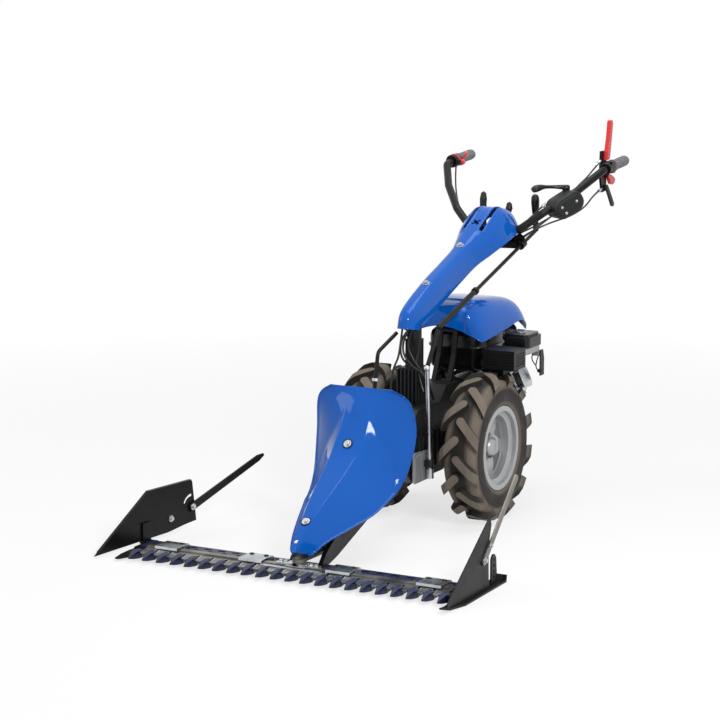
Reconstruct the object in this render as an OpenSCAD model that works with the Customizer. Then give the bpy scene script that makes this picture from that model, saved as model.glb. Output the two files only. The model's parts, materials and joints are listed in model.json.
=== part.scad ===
// Two-wheel sickle bar mower: engine and gearbox over one axle, a cutter bar in
// front on two shoes, and a handle column that reaches back over the engine.
// Millimetres, +Z up, cutter bar towards -Y, handles towards +Y, operator's left is +X.
// Work is laid out from the axle (y = 0) and the ground (z = 0), then moved as one
// so that the middle of the footprint is at the origin.

/* [Wheels] */
// Outside diameter of a tyre over its lugs
tyre_d = 495; // [460:5:520]
// Width of a tyre
tyre_w = 124; // [116:1:130]
// Height of a tyre lug
lug_h = 20; // [14:1:24]
// Width of a lug across its length
lug_w = 28; // [20:1:32]
// How far a lug trails from the middle to the shoulder
lug_rake = 54; // [44:1:70]
// Lugs on each side of one tyre
lug_count = 12; // [9:1:13]
// Diameter over the rim flanges
rim_d = 284; // [270:2:296]
// Distance between the middles of the tyres
track = 400; // [396:1:430]
// Openings in a wheel disc
window_count = 5; // [3:1:8]
// Diameter of a wheel axle
axle_d = 30; // [22:1:36]

/* [Cutter bar] */
// Distance between neighbouring fingers, also the stroke of the knife
finger_pitch = 50.8; // [46:0.2:56]
// Number of fingers
finger_count = 22; // [14:2:24]
// Distance from the axle to the finger tips
bar_reach = 1045; // [1020:5:1100]
// How far the bar's middle stands to the right of the machine's middle
bar_offset = 8; // [0:1:16]
// Length of a finger in front of the bar
finger_len = 130; // [120:1:145]
// Width of the bar
bar_w = 70; // [60:1:85]
// Thickness of the bar
bar_t = 10; // [8:0.5:12]
// Height of the bar's underside above the ground
bar_z = 14; // [13:0.5:20]
// Thickness of a knife section
section_t = 3; // [2:0.25:4]
// Width of the knife back
back_w = 22; // [18:1:24]
// Thickness of the knife back
back_t = 5.5; // [4:0.5:8]
// Width of a knife holder clip
clip_w = 82; // [72:1:94]
// Distance between the clips, in finger pitches
clip_step = 6; // [4:1:7]

/* [Shoes and dividers] */
// Thickness of a shoe's sole
sole_t = 6; // [4:0.5:7]
// Width of the right shoe's sole
board_sole_w = 62; // [50:1:80]
// Width of the left shoe's sole
blade_sole_w = 48; // [40:1:60]
// Height of the swath board
board_h = 172; // [140:1:210]
// Length of the swath board
board_len = 488; // [440:2:540]
// Angle at which the swath board spreads outwards
board_yaw = 9.1; // [4:0.1:14]
// Thickness of the divider sheets
sheet_t = 4; // [3:0.5:6]
// Length of the swath stick
swath_stick_len = 385; // [300:5:480]
// Length of the divider stick
divider_stick_len = 330; // [260:5:380]

/* [Knife drive] */
// Distance from the rocker's pivot to the knife head
rocker_len = 175; // [150:1:200]
// Diameter of the rocker's drive pin
rocker_pin_d = 20; // [14:1:24]
// Diameter of the rocker shaft
rocker_shaft_d = 26; // [20:1:30]
// Width over the cheeks of the front drive housing
drive_w = 88; // [76:1:100]

/* [Engine and gearbox] */
// Height of the engine's crankshaft
crank_z = 345; // [335:1:355]
// Width of the gearbox casting
gearbox_w = 140; // [120:1:156]
// Gap between one rib of a casting and the next
rib_step = 34; // [24:1:50]
// Lean of the cylinder above the horizontal
cylinder_lean = 24; // [18:1:30]
// Height of the hood above the ground
hood_top = 716; // [706:1:740]
// Width over the hood's skirts
hood_w = 314; // [304:2:320]
// Wall of the painted covers
cover_t = 3; // [2:0.25:4]

/* [Handle] */
// Width over the middles of the grips
grip_span = 614; // [540:2:680]
// Distance from the axle back to the grip ends
grip_reach = 955; // [920:5:990]
// Height of the grip ends
grip_z = 1138; // [1120:1:1160]
// Diameter of the handlebar tube
bar_tube_d = 28; // [24:1:32]
// Diameter of a grip
grip_d = 36; // [34:0.5:42]
// Length of a grip
grip_len = 128; // [110:1:140]
// Diameter of the tilt pin at the foot of the column
tilt_pin_d = 16; // [12:1:20]
// Length of the red clutch lever
clutch_len = 126; // [100:1:150]
// Diameter of the control rods
rod_d = 13; // [10:0.5:15]

/* [Fits] */
// Clearance all round a shaft or pin that turns
running = 0.06; // [0.02:0.01:0.1]
// Gap between faces that pass each other
gap = 0.5; // [0.3:0.1:1]

/* [Hidden] */
$fn = 48;
eps = 0.01;

// Colours, as painted, plated or bare
blue = "#1f5fc4";
black = "#1b1b1d";
cast_grey = "#a9adb0";
zinc = "#c3c8cc";
steel = "#8d8f92";
navy = "#1d2444";
rubber = "#2f2b28";
red = "#d8232a";

// Wheels
axle_z = tyre_d / 2;
axle_r = axle_d / 2;
carcass_r = tyre_d / 2 - lug_h;
seat_r = rim_d / 2 - 14;
rim_half = 56;
flange_t = 4;
well_r = seat_r - 16;
disc_in = -8;
disc_t = 7;
disc_hole_r = 28;
stud_pcd = 84;
stud_r = 6;
stud_count = 5;
tube_end = 122;

// Cutter bar, heights above the ground and places along the way of travel
tip_y = -bar_reach;
bar_y = tip_y + finger_len;
bar_top = bar_z + bar_t;
ledger_z = bar_top;
section_z = ledger_z + gap;
section_top = section_z + section_t;
back_top = section_top + back_t;
lip_z = section_top + 1;
lip_top = lip_z + 6;
tail_half = 17;
first_x = -bar_offset - (finger_count - 1) / 2 * finger_pitch;
bar_half = (finger_count - 1) / 2 * finger_pitch + 38;
knife_half = bar_half - 39;
back_front = bar_y - 3 - back_w;
stroke = finger_pitch / 2;
clip_z = back_top + 2.5;
clip_t = 3;
bolt_y = bar_y + 24;
bolt_r = 5;
clip_base = clip_z;

// Knife drive
head_y = back_front + back_w / 2;
rocker_y = head_y + rocker_len;
rocker_z = back_top + 12;
rocker_t = 10;
head_top = rocker_z - 2;
leg_t = 14;
drive_half = drive_w / 2;
box_back_y = -330;
pto_z = 268;
pto_r = 62;
drive_back = box_back_y - 30;
rocker_base = -754;
// A place between gearbox and rocker stretches with that distance, one further on moves with the bar
function fore(y) = y < rocker_base ? y + rocker_y - rocker_base
    : drive_back + (y - drive_back) * (rocker_y - drive_back) / (rocker_base - drive_back);

// Shoes: the right one carries the board, the left one the blade
board_x = -bar_offset - bar_half - 10;
board_y = bar_y + bar_w + 275;
blade_x = -bar_offset + bar_half + 6;
sole_out = 18;
nose_y = tip_y - 58;
shoe_back = bar_y + bar_w + 145;
plate_y = bar_y + 173;
board_pivot = [26, 80];
board_slot_r = 39;
blade_pivot = [bar_y + 83, 98];

// Engine
engine_len = 160;
fin_half = 42;
tyre_clear = 4;
function tread_z(y) = axle_z + sqrt(pow(tyre_d / 2, 2) - y * y);
fin_low = crank_z + 8 - axle_z;
barrel_y = max(266, sqrt(pow(tyre_d / 2, 2) - fin_low * fin_low) + fin_half);
engine_y = barrel_y - 101;
muffler_z = tyre_d + tyre_clear;
stub_z = tread_z(148) + 16;
bell_start = 84;
bell_r = 96;
head_dist = 212;
barrel_foot = 93.2;
rocker_t_cover = 34;
filter_z = 550;

// Handle: the pivot at the column's foot, and the path of a handlebar
tilt_y = -160;
tilt_z = 667;
post_y = -140;
post_half = 24;
grip_x = grip_span / 2;
bar_r = bar_tube_d / 2;
bar_root_y = 492;
bar_run = grip_reach - grip_len - 8 - bar_root_y;
bar_path = [
    [22, bar_root_y, 905], [96, bar_root_y + 2, 922], [168, bar_root_y + bar_run * 0.1376, 980],
    [250, bar_root_y + bar_run * 0.4495, 1050], [grip_x - 1, bar_root_y + bar_run * 0.7615, grip_z - 21],
    [grip_x, bar_root_y + bar_run, grip_z - 11], [grip_x, grip_reach - 6, grip_z]
];
bar_bend = 46;
grip_dir = unit(bar_path[6] - bar_path[5]);
grip_start = bar_path[6] - grip_dir * (grip_len - 6);
bracket_y = grip_reach - 165;
clutch_pivot = [grip_x - 14, bracket_y + 12, grip_z + 28];
reverse_pivot = [grip_x - 14, bracket_y + 16, grip_z - 84];
latch_pivot = [grip_x - 14, bracket_y + 26, grip_z - 43];
paddle_pivot = [215, bar_path[3][1] - 13, 1055];
gear_foot = [100, tilt_y, tilt_z];
gear_top = [100, 641, 908];
chrome_foot = [100, -223, 197];
chrome_top = [100, -250, 544];
drive_pivot = [-63, 560, 908];
rear_pivot = [14, 560, 908];
drive_path = [[-60, -341, 330], [-60, -287, 591], [-33.6, -204, 644.4]];
rod_r = rod_d / 2;
knuckle_r = rod_r + 4;
lever_pin_r = 5;

// The least and greatest reach of the whole machine set its place in its frame
reach_left = blade_x + sole_out;
reach_right = -board_x + board_len * sin(board_yaw) + 3;
frame_x = (reach_right - reach_left) / 2;
frame_y = (-nose_y - grip_reach) / 2;
module placed() translate([frame_x, frame_y, 0]) children();

// General shapes
function unit(v) = v / norm(v);

// Turns +Z to point from a to b, with the start at a
module along(a, b) {
    d = b - a;
    translate(a) rotate([0, acos(d[2] / norm(d)), atan2(d[1], d[0])]) children();
}
module rod(a, b, r) along(a, b) cylinder(h = norm(b - a), r = r);

// A round bar through the points, with true bends of one radius at the corners. Each bend
// laps a little way into the straights on both sides and is a hair thinner than they are.
bend_lap = 0.6;
bend_thin = 0.03;
function bend_cut(p, i, bend) =
    bend * tan(acos(unit(p[i] - p[i - 1]) * unit(p[i + 1] - p[i])) / 2);
module bent_rod(p, r, bend) {
    n = len(p);
    for (i = [0 : n - 2]) {
        u = unit(p[i + 1] - p[i]);
        from = i == 0 ? 0 : bend_cut(p, i, bend);
        upto = i == n - 2 ? 0 : bend_cut(p, i + 1, bend);
        rod(p[i] + u * from, p[i + 1] - u * upto, r);
    }
    for (i = [1 : n - 2]) {
        u = unit(p[i] - p[i - 1]);
        v = unit(p[i + 1] - p[i]);
        turn = acos(u * v);
        c = p[i] + unit(v - u) * bend / cos(turn / 2);
        e = unit(p[i] - u * bend * tan(turn / 2) - c);
        w = cross(e, u);
        multmatrix([[e[0], u[0], w[0], c[0]], [e[1], u[1], w[1], c[1]], [e[2], u[2], w[2], c[2]]])
            rotate([0, 0, -bend_lap]) rotate_extrude(angle = turn + 2 * bend_lap)
            translate([bend, 0]) circle(r - bend_thin);
    }
}

// A flat bar standing across X, cut from a side outline of [y, z] points
module side_plate(points, x, t) translate([x, 0, 0]) rotate([90, 0, 90]) linear_extrude(t) polygon(points);

// A rectangle with round corners, from its low corner
module round_rect(size, r) {
    translate([r, 0]) square([size[0] - 2 * r, size[1]]);
    translate([0, r]) square([size[0], size[1] - 2 * r]);
    for (x = [r, size[0] - r], y = [r, size[1] - r]) translate([x, y]) circle(r);
}

// Smooth curve through rows of numbers, at t from 0 to the last row
function spline(p, t) =
    let (n = len(p) - 1, i = min(floor(t), n - 1), f = t - i,
         a = p[max(i - 1, 0)], b = p[i], c = p[i + 1], d = p[min(i + 2, n)])
    0.5 * (2 * b + (c - a) * f + (2 * a - 5 * b + 4 * c - d) * f * f + (3 * b - a - 3 * c + d) * f * f * f);

// A pressed cover lofted over stations of [spine y, spine z, rim x, rim y, rim z, crown].
// Across each station the wall falls from the spine to the rim by a power curve, and
// the inner wall is the same sheet drawn in by the wall thickness.
// A station may go on with two more numbers for a keel: how far the keel lies under the sheet, and
// how far the sheet beside it has dropped. The wall then follows whichever stands further out.
keel_band = 0.26;
function drop(st, a) =
    let (sheet = max(st[7], 0) + (1 - max(st[7], 0)) * pow(a, st[5]),
         keel = max(st[6], 0) + max(a - keel_band, 0) * (1.3 - 0.3 * st[7]) / (1 - keel_band))
    min(sheet, keel, 1);
function cover_point(st, s) =
    let (f = len(st) > 6 ? drop(st, abs(s)) : pow(abs(s), st[5]))
    [st[2] * s, st[0] + (st[3] - st[0]) * f, st[1] + (st[4] - st[1]) * f];
function cover_grid(stations, rows, cols) = [
    for (i = [0 : rows]) let (st = spline(stations, i * (len(stations) - 1) / rows))
        [for (j = [-cols : cols]) cover_point(st, sin(90 * j / cols))]
];
function grid_normal(g, i, j) =
    let (n = len(g) - 1, m = len(g[0]) - 1)
    unit(cross(g[i][min(j + 1, m)] - g[i][max(j - 1, 0)], g[min(i + 1, n)][j] - g[max(i - 1, 0)][j]));
module cover_shell(stations, rows, cols, t) {
    outer = cover_grid(stations, rows, cols);
    m = 2 * cols + 1;
    n = rows + 1;
    inner = [for (i = [0 : rows]) [for (j = [0 : m - 1]) outer[i][j] - grid_normal(outer, i, j) * t]];
    o = n * m;
    points = concat([for (r = outer, q = r) q], [for (r = inner, q = r) q]);
    skin = [for (i = [0 : n - 2], j = [0 : m - 2], h = [0, 1])
        h == 0 ? [i * m + j, (i + 1) * m + j, i * m + j + 1]
               : [i * m + j + 1, (i + 1) * m + j, (i + 1) * m + j + 1]];
    lining = [for (f = skin) [f[0] + o, f[2] + o, f[1] + o]];
    rim_a = [for (j = [0 : m - 2], h = [0, 1]) h == 0 ? [j, j + 1, j + o] : [j + 1, j + 1 + o, j + o]];
    e = (n - 1) * m;
    rim_b = [for (j = [0 : m - 2], h = [0, 1])
        h == 0 ? [e + j, e + j + o, e + j + 1] : [e + j + 1, e + j + o, e + j + 1 + o]];
    edge_a = [for (i = [0 : n - 2], h = [0, 1])
        h == 0 ? [i * m, i * m + o, (i + 1) * m] : [(i + 1) * m, i * m + o, (i + 1) * m + o]];
    k = m - 1;
    edge_b = [for (i = [0 : n - 2], h = [0, 1])
        h == 0 ? [i * m + k, (i + 1) * m + k, i * m + k + o]
               : [(i + 1) * m + k, (i + 1) * m + k + o, i * m + k + o]];
    polyhedron(points, concat(skin, lining, rim_a, rim_b, edge_a, edge_b));
}

// A cable of round section swept along a smooth curve through its points
cable_sides = 8;
module cable(points, r, rings) {
    n = len(points) - 1;
    path = [for (i = [0 : rings]) spline(points, i * n / rings)];
    dir = [for (i = [0 : rings]) unit(path[min(i + 1, rings)] - path[max(i - 1, 0)])];
    ring = [for (i = [0 : rings], a = [0 : cable_sides - 1])
        let (side = unit(cross(dir[i], [0.31, 0.9, 0.29])), up = cross(side, dir[i]),
            g = a * 360 / cable_sides)
        path[i] + side * r * cos(g) + up * r * sin(g)];
    k = cable_sides;
    wall = [for (i = [0 : rings - 1], a = [0 : k - 1], h = [0, 1])
        let (b = (a + 1) % k)
        h == 0 ? [i * k + a, i * k + b, (i + 1) * k + a] : [i * k + b, (i + 1) * k + b, (i + 1) * k + a]];
    foot = [for (a = [1 : k - 2]) [0, a + 1, a]];
    head = [for (a = [1 : k - 2]) [rings * k, rings * k + a, rings * k + a + 1]];
    polyhedron(ring, concat(wall, foot, head));
}

// Wheels
module on_wheel(side) translate([side * track / 2, 0, axle_z]) rotate([0, 90, 0]) children();

// Tyre outline: a squared oval, from bead to tread to bead, then back along the lining
tread_mid = (carcass_r + rim_d / 2 - 14) / 2;
tread_deep = carcass_r - tread_mid;
function oval(a, deep, half) =
    [tread_mid + sign(cos(a)) * deep * pow(abs(cos(a)), 0.6), half * sign(sin(a)) * pow(abs(sin(a)), 0.6)];
wall_t = 11;
bead_arc = 118;
lug_half = tyre_w / 2 + 9;
module tyre_profile() polygon(concat(
    [for (a = [-bead_arc : 11.8 : bead_arc]) oval(a, tread_deep, tyre_w / 2)],
    [[rim_d / 2 + 1.5, rim_half - flange_t - gap], [seat_r + 0.3, rim_half - flange_t - gap],
     [seat_r + 0.3, rim_half - flange_t - 11]],
    [for (a = [bead_arc : -11.8 : -bead_arc]) oval(a, tread_deep - wall_t, tyre_w / 2 - wall_t)],
    [[seat_r + 0.3, -rim_half + flange_t + 11], [seat_r + 0.3, -rim_half + flange_t + gap],
     [rim_d / 2 + 1.5, -rim_half + flange_t + gap]]));
module lug_band() rotate_extrude() polygon(concat(
    [[tyre_d / 2, -lug_half + 30], [tyre_d / 2, lug_half - 30], [tyre_d / 2 - 6, lug_half - 14],
     [tyre_d / 2 - 22, lug_half], [tyre_d / 2 - 44, tyre_w / 2]],
    [for (a = [70 : -14 : -70]) oval(a, tread_deep - 5, tyre_w / 2 - 5)],
    [[tyre_d / 2 - 44, -tyre_w / 2], [tyre_d / 2 - 22, -lug_half], [tyre_d / 2 - 6, 14 - lug_half]]));
// One lug: a bar that starts with a round end near the middle and trails to the shoulder
module lug(side) rotate([90, 0, 90]) translate([0, 0, carcass_r - 48]) linear_extrude(lug_h + 60) {
    slant = atan2(side * (tyre_w / 2 - 8), lug_rake);
    translate([0, side * 4]) rotate([0, 0, slant]) {
        circle(lug_w / 2);
        translate([0, -lug_w / 2]) square([norm([lug_rake, tyre_w / 2]) + 34, lug_w]);
    }
}
module tyre() {
    pitch = 360 / lug_count;
    rotate_extrude() tyre_profile();
    intersection() {
        lug_band();
        for (i = [0 : lug_count - 1]) {
            rotate([0, 0, i * pitch]) lug(1);
            rotate([0, 0, (i + 0.5) * pitch]) lug(-1);
        }
    }
}
module rim(out) {
    lip = rim_half - flange_t;
    rotate_extrude() polygon([
        [rim_d / 2, rim_half], [rim_d / 2, lip], [seat_r, lip], [seat_r, lip - 13], [well_r, lip - 20],
        [well_r, 20 - lip], [seat_r, 13 - lip], [seat_r, -lip], [rim_d / 2, -lip], [rim_d / 2, -rim_half],
        [seat_r - 4, -rim_half], [seat_r - 4, 11 - lip], [well_r - 4, 18 - lip], [well_r - 4, lip - 18],
        [seat_r - 4, lip - 11], [seat_r - 4, rim_half]]);
    difference() {
        rotate_extrude() polygon([
            [disc_hole_r, out * disc_in], [60, out * disc_in], [80, out * (disc_in + 10)],
            [well_r - 4 + eps, out * (disc_in + 10)], [well_r - 4 + eps, out * (disc_in + 10 + disc_t)],
            [76, out * (disc_in + 10 + disc_t)], [57, out * (disc_in + disc_t)],
            [disc_hole_r, out * (disc_in + disc_t)]]);
        for (i = [0 : window_count - 1]) rotate([0, 0, i * 360 / window_count])
            translate([0, 0, -60]) linear_extrude(120) disc_window();
        for (i = [0 : stud_count - 1]) rotate([0, 0, (i + 0.5) * 360 / stud_count])
            translate([stud_pcd / 2, 0, -60]) cylinder(h = 120, r = stud_r + gap / 2);
    }
}
// One opening in the wheel disc: a wedge of a ring, narrower at the hub
module disc_window() intersection() {
    difference() {
        circle(well_r - 10);
        circle(62);
    }
    polygon([[20, 4], [well_r, 42], [well_r, -42], [20, -4]]);
}
module hub(out) {
    flange = out * disc_in;
    mirror([0, 0, out > 0 ? 0 : 1]) {
        translate([0, 0, disc_in - 9]) cylinder(h = 9, r = 54);
        translate([0, 0, disc_in - eps]) cylinder(h = disc_t + 16, r = disc_hole_r - 0.3);
        shaft_in = -track / 2 + gearbox_w / 2 + 14;
        translate([0, 0, shaft_in]) cylinder(h = disc_in - shaft_in, r = axle_r);
        for (i = [0 : stud_count - 1]) rotate([0, 0, (i + 0.5) * 360 / stud_count])
            translate([stud_pcd / 2, 0, 0]) {
            translate([0, 0, disc_in - 9]) cylinder(h = disc_t + 24, r = stud_r);
            translate([0, 0, disc_in + disc_t]) cylinder(h = 10, r = 10, $fn = 6);
        }
    }
}
module left_tyre() color(rubber) placed() on_wheel(1) tyre();
module right_tyre() color(rubber) placed() on_wheel(-1) tyre();
module left_rim() color(zinc) placed() on_wheel(1) rim(1);
module right_rim() color(zinc) placed() on_wheel(-1) rim(-1);
module left_hub() color(steel) placed() on_wheel(1) hub(1);
module right_hub() color(steel) placed() on_wheel(-1) hub(-1);

// Gearbox: ribbed casting with the axle tubes, input boss and the plated rod's guide
guide_dir = unit(chrome_top - chrome_foot);
module gearbox_housing() color(black) placed() {
    half = gearbox_w / 2;
    difference() {
        union() {
            side_plate([[-330, 330], [-330, 200], [-296, 168], [-70, 168], [20, 178], [70, 215], [84, 265],
                [84, 404], [40, 452], [-40, 452], [-90, 404], [-250, 404]], -half, gearbox_w);
            for (y = [-300 : rib_step : -40], s = [-1, 1]) translate([s * half, y, 196])
                translate([s < 0 ? -9 : -1, 0, 0]) cube([10, 8, 120]);
            for (s = [-1, 1]) translate([s * (half - 1), 0, axle_z]) rotate([0, s * 90, 0]) {
                cylinder(h = 13, r = 66);
                cylinder(h = tube_end - half + 1, r = 34);
            }
            rod(chrome_foot + guide_dir * 14, chrome_foot + guide_dir * 40, rod_r + 7);
            translate([half - 1, chrome_foot[1] - 12, chrome_foot[2] + 18]) cube([28, 20, 18]);
            translate([-74, -352, 340]) cube([28, 54, 26]);
        }
        rod(drive_path[0] - unit(drive_path[1] - drive_path[0]) * 20, drive_path[1], rod_r + running);
        for (s = [-1, 1]) translate([s * (half + 2), 0, axle_z]) rotate([0, s * 90, 0])
            cylinder(h = tube_end, r = axle_r + running);
        rod(chrome_foot, chrome_foot + guide_dir * 60, rod_r + running);
    }
}

// Clutch bell between the gearbox and the engine
module bell_housing() color(black) placed() translate([0, bell_start, crank_z]) rotate([-90, 0, 0]) {
    depth = engine_y - bell_start;
    cylinder(h = depth, r1 = 66, r2 = bell_r);
    for (i = [0 : 5]) rotate([0, 0, i * 60 + 30]) translate([bell_r - 4, 0, depth - 14])
        cylinder(h = 14, r = 9);
}

// Front drive housing: from the gearbox output forward to the rocker
module drive_housing() color(black) placed() difference() {
    union() {
        translate([0, box_back_y, pto_z]) rotate([90, 0, 0]) cylinder(h = 40, r = pto_r);
        side_plate([[drive_back, pto_z + 46], [drive_back, pto_z - 62], [fore(-560), 120], [fore(-640), 104],
            [rocker_y - 46, 104], [rocker_y - 46, 152], [rocker_y - 22, 184], [fore(-700), 208],
            [fore(-560), 262],
            [fore(-420), pto_z + 46]], -drive_half, drive_w);
        translate([0, rocker_y, 104]) cylinder(h = 84, r = drive_half);
        translate([0, fore(-596), 230]) cylinder(h = 125.6, r = 10);
        side_plate([[rocker_y - 30, 110], [rocker_y - 30, 176], [rocker_y - 76, 195.8],
            [rocker_y - 132, 156.2],
            [rocker_y - 132, 128], [rocker_y - 76, 110]], -12, 24);
    }
    translate([0, rocker_y, 90]) cylinder(h = 100, r = rocker_shaft_d / 2 + running);
}

// The two legs that carry the bar under the drive housing
module bar_support() color(black) placed() for (s = [-1, 1]) {
    x = s > 0 ? drive_half : -drive_half - leg_t;
    side_plate([[fore(-470), 220], [fore(-470), 132], [fore(-585), 108], [bar_y + bar_w + 60, bar_top + 14],
        [bar_y + bar_w + 6, bar_top], [bar_y + 34, bar_top], [bar_y + 34, bar_top + 12],
        [bar_y + 60, bar_top + 40], [rocker_y + 10, 132], [fore(-630), 204]], x, leg_t);
}

// Cutter bar
module bar_plate() color(navy) placed() difference() {
    translate([-bar_offset - bar_half, bar_y, bar_z]) cube([2 * bar_half, bar_w, bar_t]);
    for (i = [0 : finger_count - 1]) translate([first_x + i * finger_pitch, bolt_y, bar_z - 1])
        cylinder(h = bar_t + 2, r = bolt_r);
    for (i = [0 : finger_count - 2])
        translate([first_x + (i + 0.5) * finger_pitch, bar_y + bar_w - 18, bar_z - 1])
        bar_slot();
}
// Lightening slot between two fingers
module bar_slot() linear_extrude(bar_t + 2) {
    square([18, 12], center = true);
    for (s = [-1, 1]) translate([s * 9, 0]) circle(6);
}

// One finger: side outline and plan outline cut against each other, with a ridged top
module finger() difference() {
    intersection() {
        side_plate([[0, bar_z], [0, bar_z + 5], [26, lip_z], [52, lip_top], [62, lip_top], [62, lip_z],
            [28, lip_z],
            [28, ledger_z], [finger_len - gap, ledger_z], [finger_len - gap, bar_z], [finger_len + 42, bar_z],
            [finger_len + 42, bar_z - 7], [46, bar_z - 7.5], [16, bar_z - 4]], -20, 40);
        linear_extrude(80) polygon([[-1.5, 0], [1.5, 0], [9, 28], [12.5, 58], [9.5, 70],
            [9.5, finger_len - 20],
            [tail_half, finger_len], [tail_half, finger_len + 42], [-tail_half, finger_len + 42],
            [-tail_half, finger_len],
            [-9.5, finger_len - 20], [-9.5, 70], [-12.5, 58], [-9, 28]]);
        translate([0, 200, 0]) rotate([90, 0, 0]) linear_extrude(220) polygon([[-20, 0], [20, 0],
            [20, ledger_z + 1], [0, lip_top + 3], [-20, ledger_z + 1]]);
    }
    translate([0, finger_len + 24, 0]) cylinder(h = 60, r = bolt_r);
}
module guards() color(navy) placed() for (i = [0 : finger_count - 1])
    translate([first_x + i * finger_pitch, tip_y, 0]) finger();

// Guard bolts with domed heads, and the two bolts of each clip
module dome_bolt(z, r, foot) {
    translate([0, 0, foot]) cylinder(h = z - foot, r = r);
    translate([0, 0, z]) intersection() {
        translate([0, 0, -r * 1.2]) sphere(r * 2.1);
        cylinder(h = r, r = r * 1.8);
    }
}
clip_xs = [for (i = [-1.5 : 1 : 1.5]) i * clip_step * finger_pitch - bar_offset];
function under_clip(x) = len([for (c = clip_xs) if (abs(x - c) < clip_w / 2) c]) > 0;
function by_leg(x) = abs(abs(x) - drive_half - leg_t / 2) < leg_t / 2 + 11;
module bar_bolts() color(black) placed() for (i = [0 : finger_count - 1]) {
    x = first_x + i * finger_pitch;
    translate([x, bolt_y, 0]) {
        if (under_clip(x)) dome_bolt(clip_z + clip_t, bolt_r - 0.1, bar_z - 6);
        else if (!by_leg(x)) dome_bolt(bar_top, bolt_r - 0.1, bar_z - 6);
        else translate([0, 0, bar_z - 6]) cylinder(h = bar_t + 5.5, r = bolt_r - 0.1);
    }
}

// Knife holder clips: a block on the bar under two finger bolts, with a lip over the knife back
module knife_clips() color(zinc) placed() for (x = clip_xs) translate([x, 0, 0]) difference() {
    side_plate([[bar_y + 44, bar_top], [bar_y + 8, bar_top], [bar_y + 4, clip_z], [back_front - 5, clip_z],
        [back_front - 7, clip_z - 5], [back_front - 10, clip_z - 5], [back_front - 8, clip_z + clip_t],
        [bar_y + 38, clip_z + clip_t], [bar_y + 44, clip_z - 2]], -clip_w / 2, clip_w);
    for (s = [-1, 1]) translate([s * finger_pitch / 2, bolt_y, 0]) cylinder(h = 80, r = bolt_r);
}

// Knife: a flat back with a row of triangular sections under it
module knife_back() color(steel) placed()
    translate([-bar_offset - knife_half, back_front, section_top]) cube([2 * knife_half, back_w, back_t]);
module knife_sections() color(steel) placed() for (i = [0 : finger_count - 2])
    translate([first_x + (i + 0.5) * finger_pitch, 0, section_z]) linear_extrude(section_t) section();
module section() {
    half = finger_pitch / 2 - 0.5;
    back = back_front + back_w - 1;
    polygon([[-half, back], [half, back], [half, back - 24], [8, tip_y + 40], [-8, tip_y + 40],
        [-half, back - 24]]);
}

// Knife head: a plate on the knife back, a fork for the rocker's pin and a front strip
module knife_head() color(zinc) placed() {
    slot = rocker_pin_d + 2 * gap;
    difference() {
        union() {
            translate([-74, back_front, back_top]) cube([148, back_w, 6]);
            translate([-34, back_front - 10, back_top]) cube([68, back_w + 12, head_top - back_top]);
        }
        translate([-slot / 2, back_front - 20, back_top + 2]) cube([slot, back_w + 40, 60]);
    }
    translate([-114, back_front - 27, section_top]) cube([228, 16, 4]);
}

// Rocker: swings about its shaft in the drive housing and drives the knife head
module rocker_arm() color(steel) placed() {
    translate([0, rocker_y, rocker_z]) cylinder(h = 120, r = rocker_shaft_d / 2);
    difference() {
        union() {
            translate([0, rocker_y, rocker_z]) cylinder(h = rocker_t, r = 27);
            translate([0, head_y, rocker_z]) cylinder(h = rocker_t, r = 19);
            linear_extrude_at(rocker_z, rocker_t) polygon([[-24, rocker_y - 10], [24, rocker_y - 10],
                [17, head_y + 8], [-17, head_y + 8]]);
        }
    }
    translate([0, head_y, back_top + 3]) cylinder(h = rocker_z - back_top - 2, r = rocker_pin_d / 2);
}
module linear_extrude_at(z, h) translate([0, 0, z]) linear_extrude(h) children();

// Front cover: a shield that narrows from the top edge to a rounded tip over the knife head
cover_stations = [
    [fore(-517), 518, 112, fore(-517), 516, 1.6, 0.3, 0],
    [fore(-542), 468, 164, fore(-497), 472, 1.7, 0.12, 0],
    [fore(-610), 351, 176, fore(-484), 360, 1.8, 0, 0.18],
    [fore(-680), 291, 158, fore(-542), 226, 1.7, 0, 0.62],
    [fore(-765), 238, 128, fore(-657), 155, 1.5, 0, 1],
    [fore(-831), 196, 94, fore(-759), 124, 1.4, 0, 1],
    [fore(-893), 152, 60, fore(-850), 98, 1.4, 0, 1],
    [fore(-946), 110, 38, fore(-900), 68, 1.6, 0, 1],
    [fore(-968), 86, 24, fore(-908), 58, 1.8, 0, 1]
];
module front_cover() color(blue) placed() cover_shell(cover_stations, 30, 12, cover_t);

// Right shoe: sole with an upturned nose, under the end of the bar
module sole(x, w, back, nose, lift) intersection() {
    side_plate([[back, 0], [nose + 120, 0], [nose + 40, 5], [nose, lift], [nose, lift + 4], [nose + 50, 12],
        [nose + 130, sole_t], [back, sole_t]], x, w);
    translate([x, 0, 0]) linear_extrude(60) polygon([[0, back], [w, back], [w, nose + 120], [w * 0.6, nose],
        [w * 0.4, nose], [0, nose + 120]]);
}
module right_shoe() color(black) placed() {
    x = board_x - board_sole_w / 2 + 3;
    sole(x, board_sole_w, bar_y + bar_w + 50, tip_y, 8);
    translate([x + 8, bar_y + 4, sole_t]) cube([first_x - tail_half - 1 - x - 8, bar_w - 8, bar_z - sole_t]);
    translate([x - 15, bar_y + bar_w, sole_t]) cube([44, 44, 6]);
    on_board() translate([232, sole_t + 5, sheet_t]) cube([38, 60, 6]);
}

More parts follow.
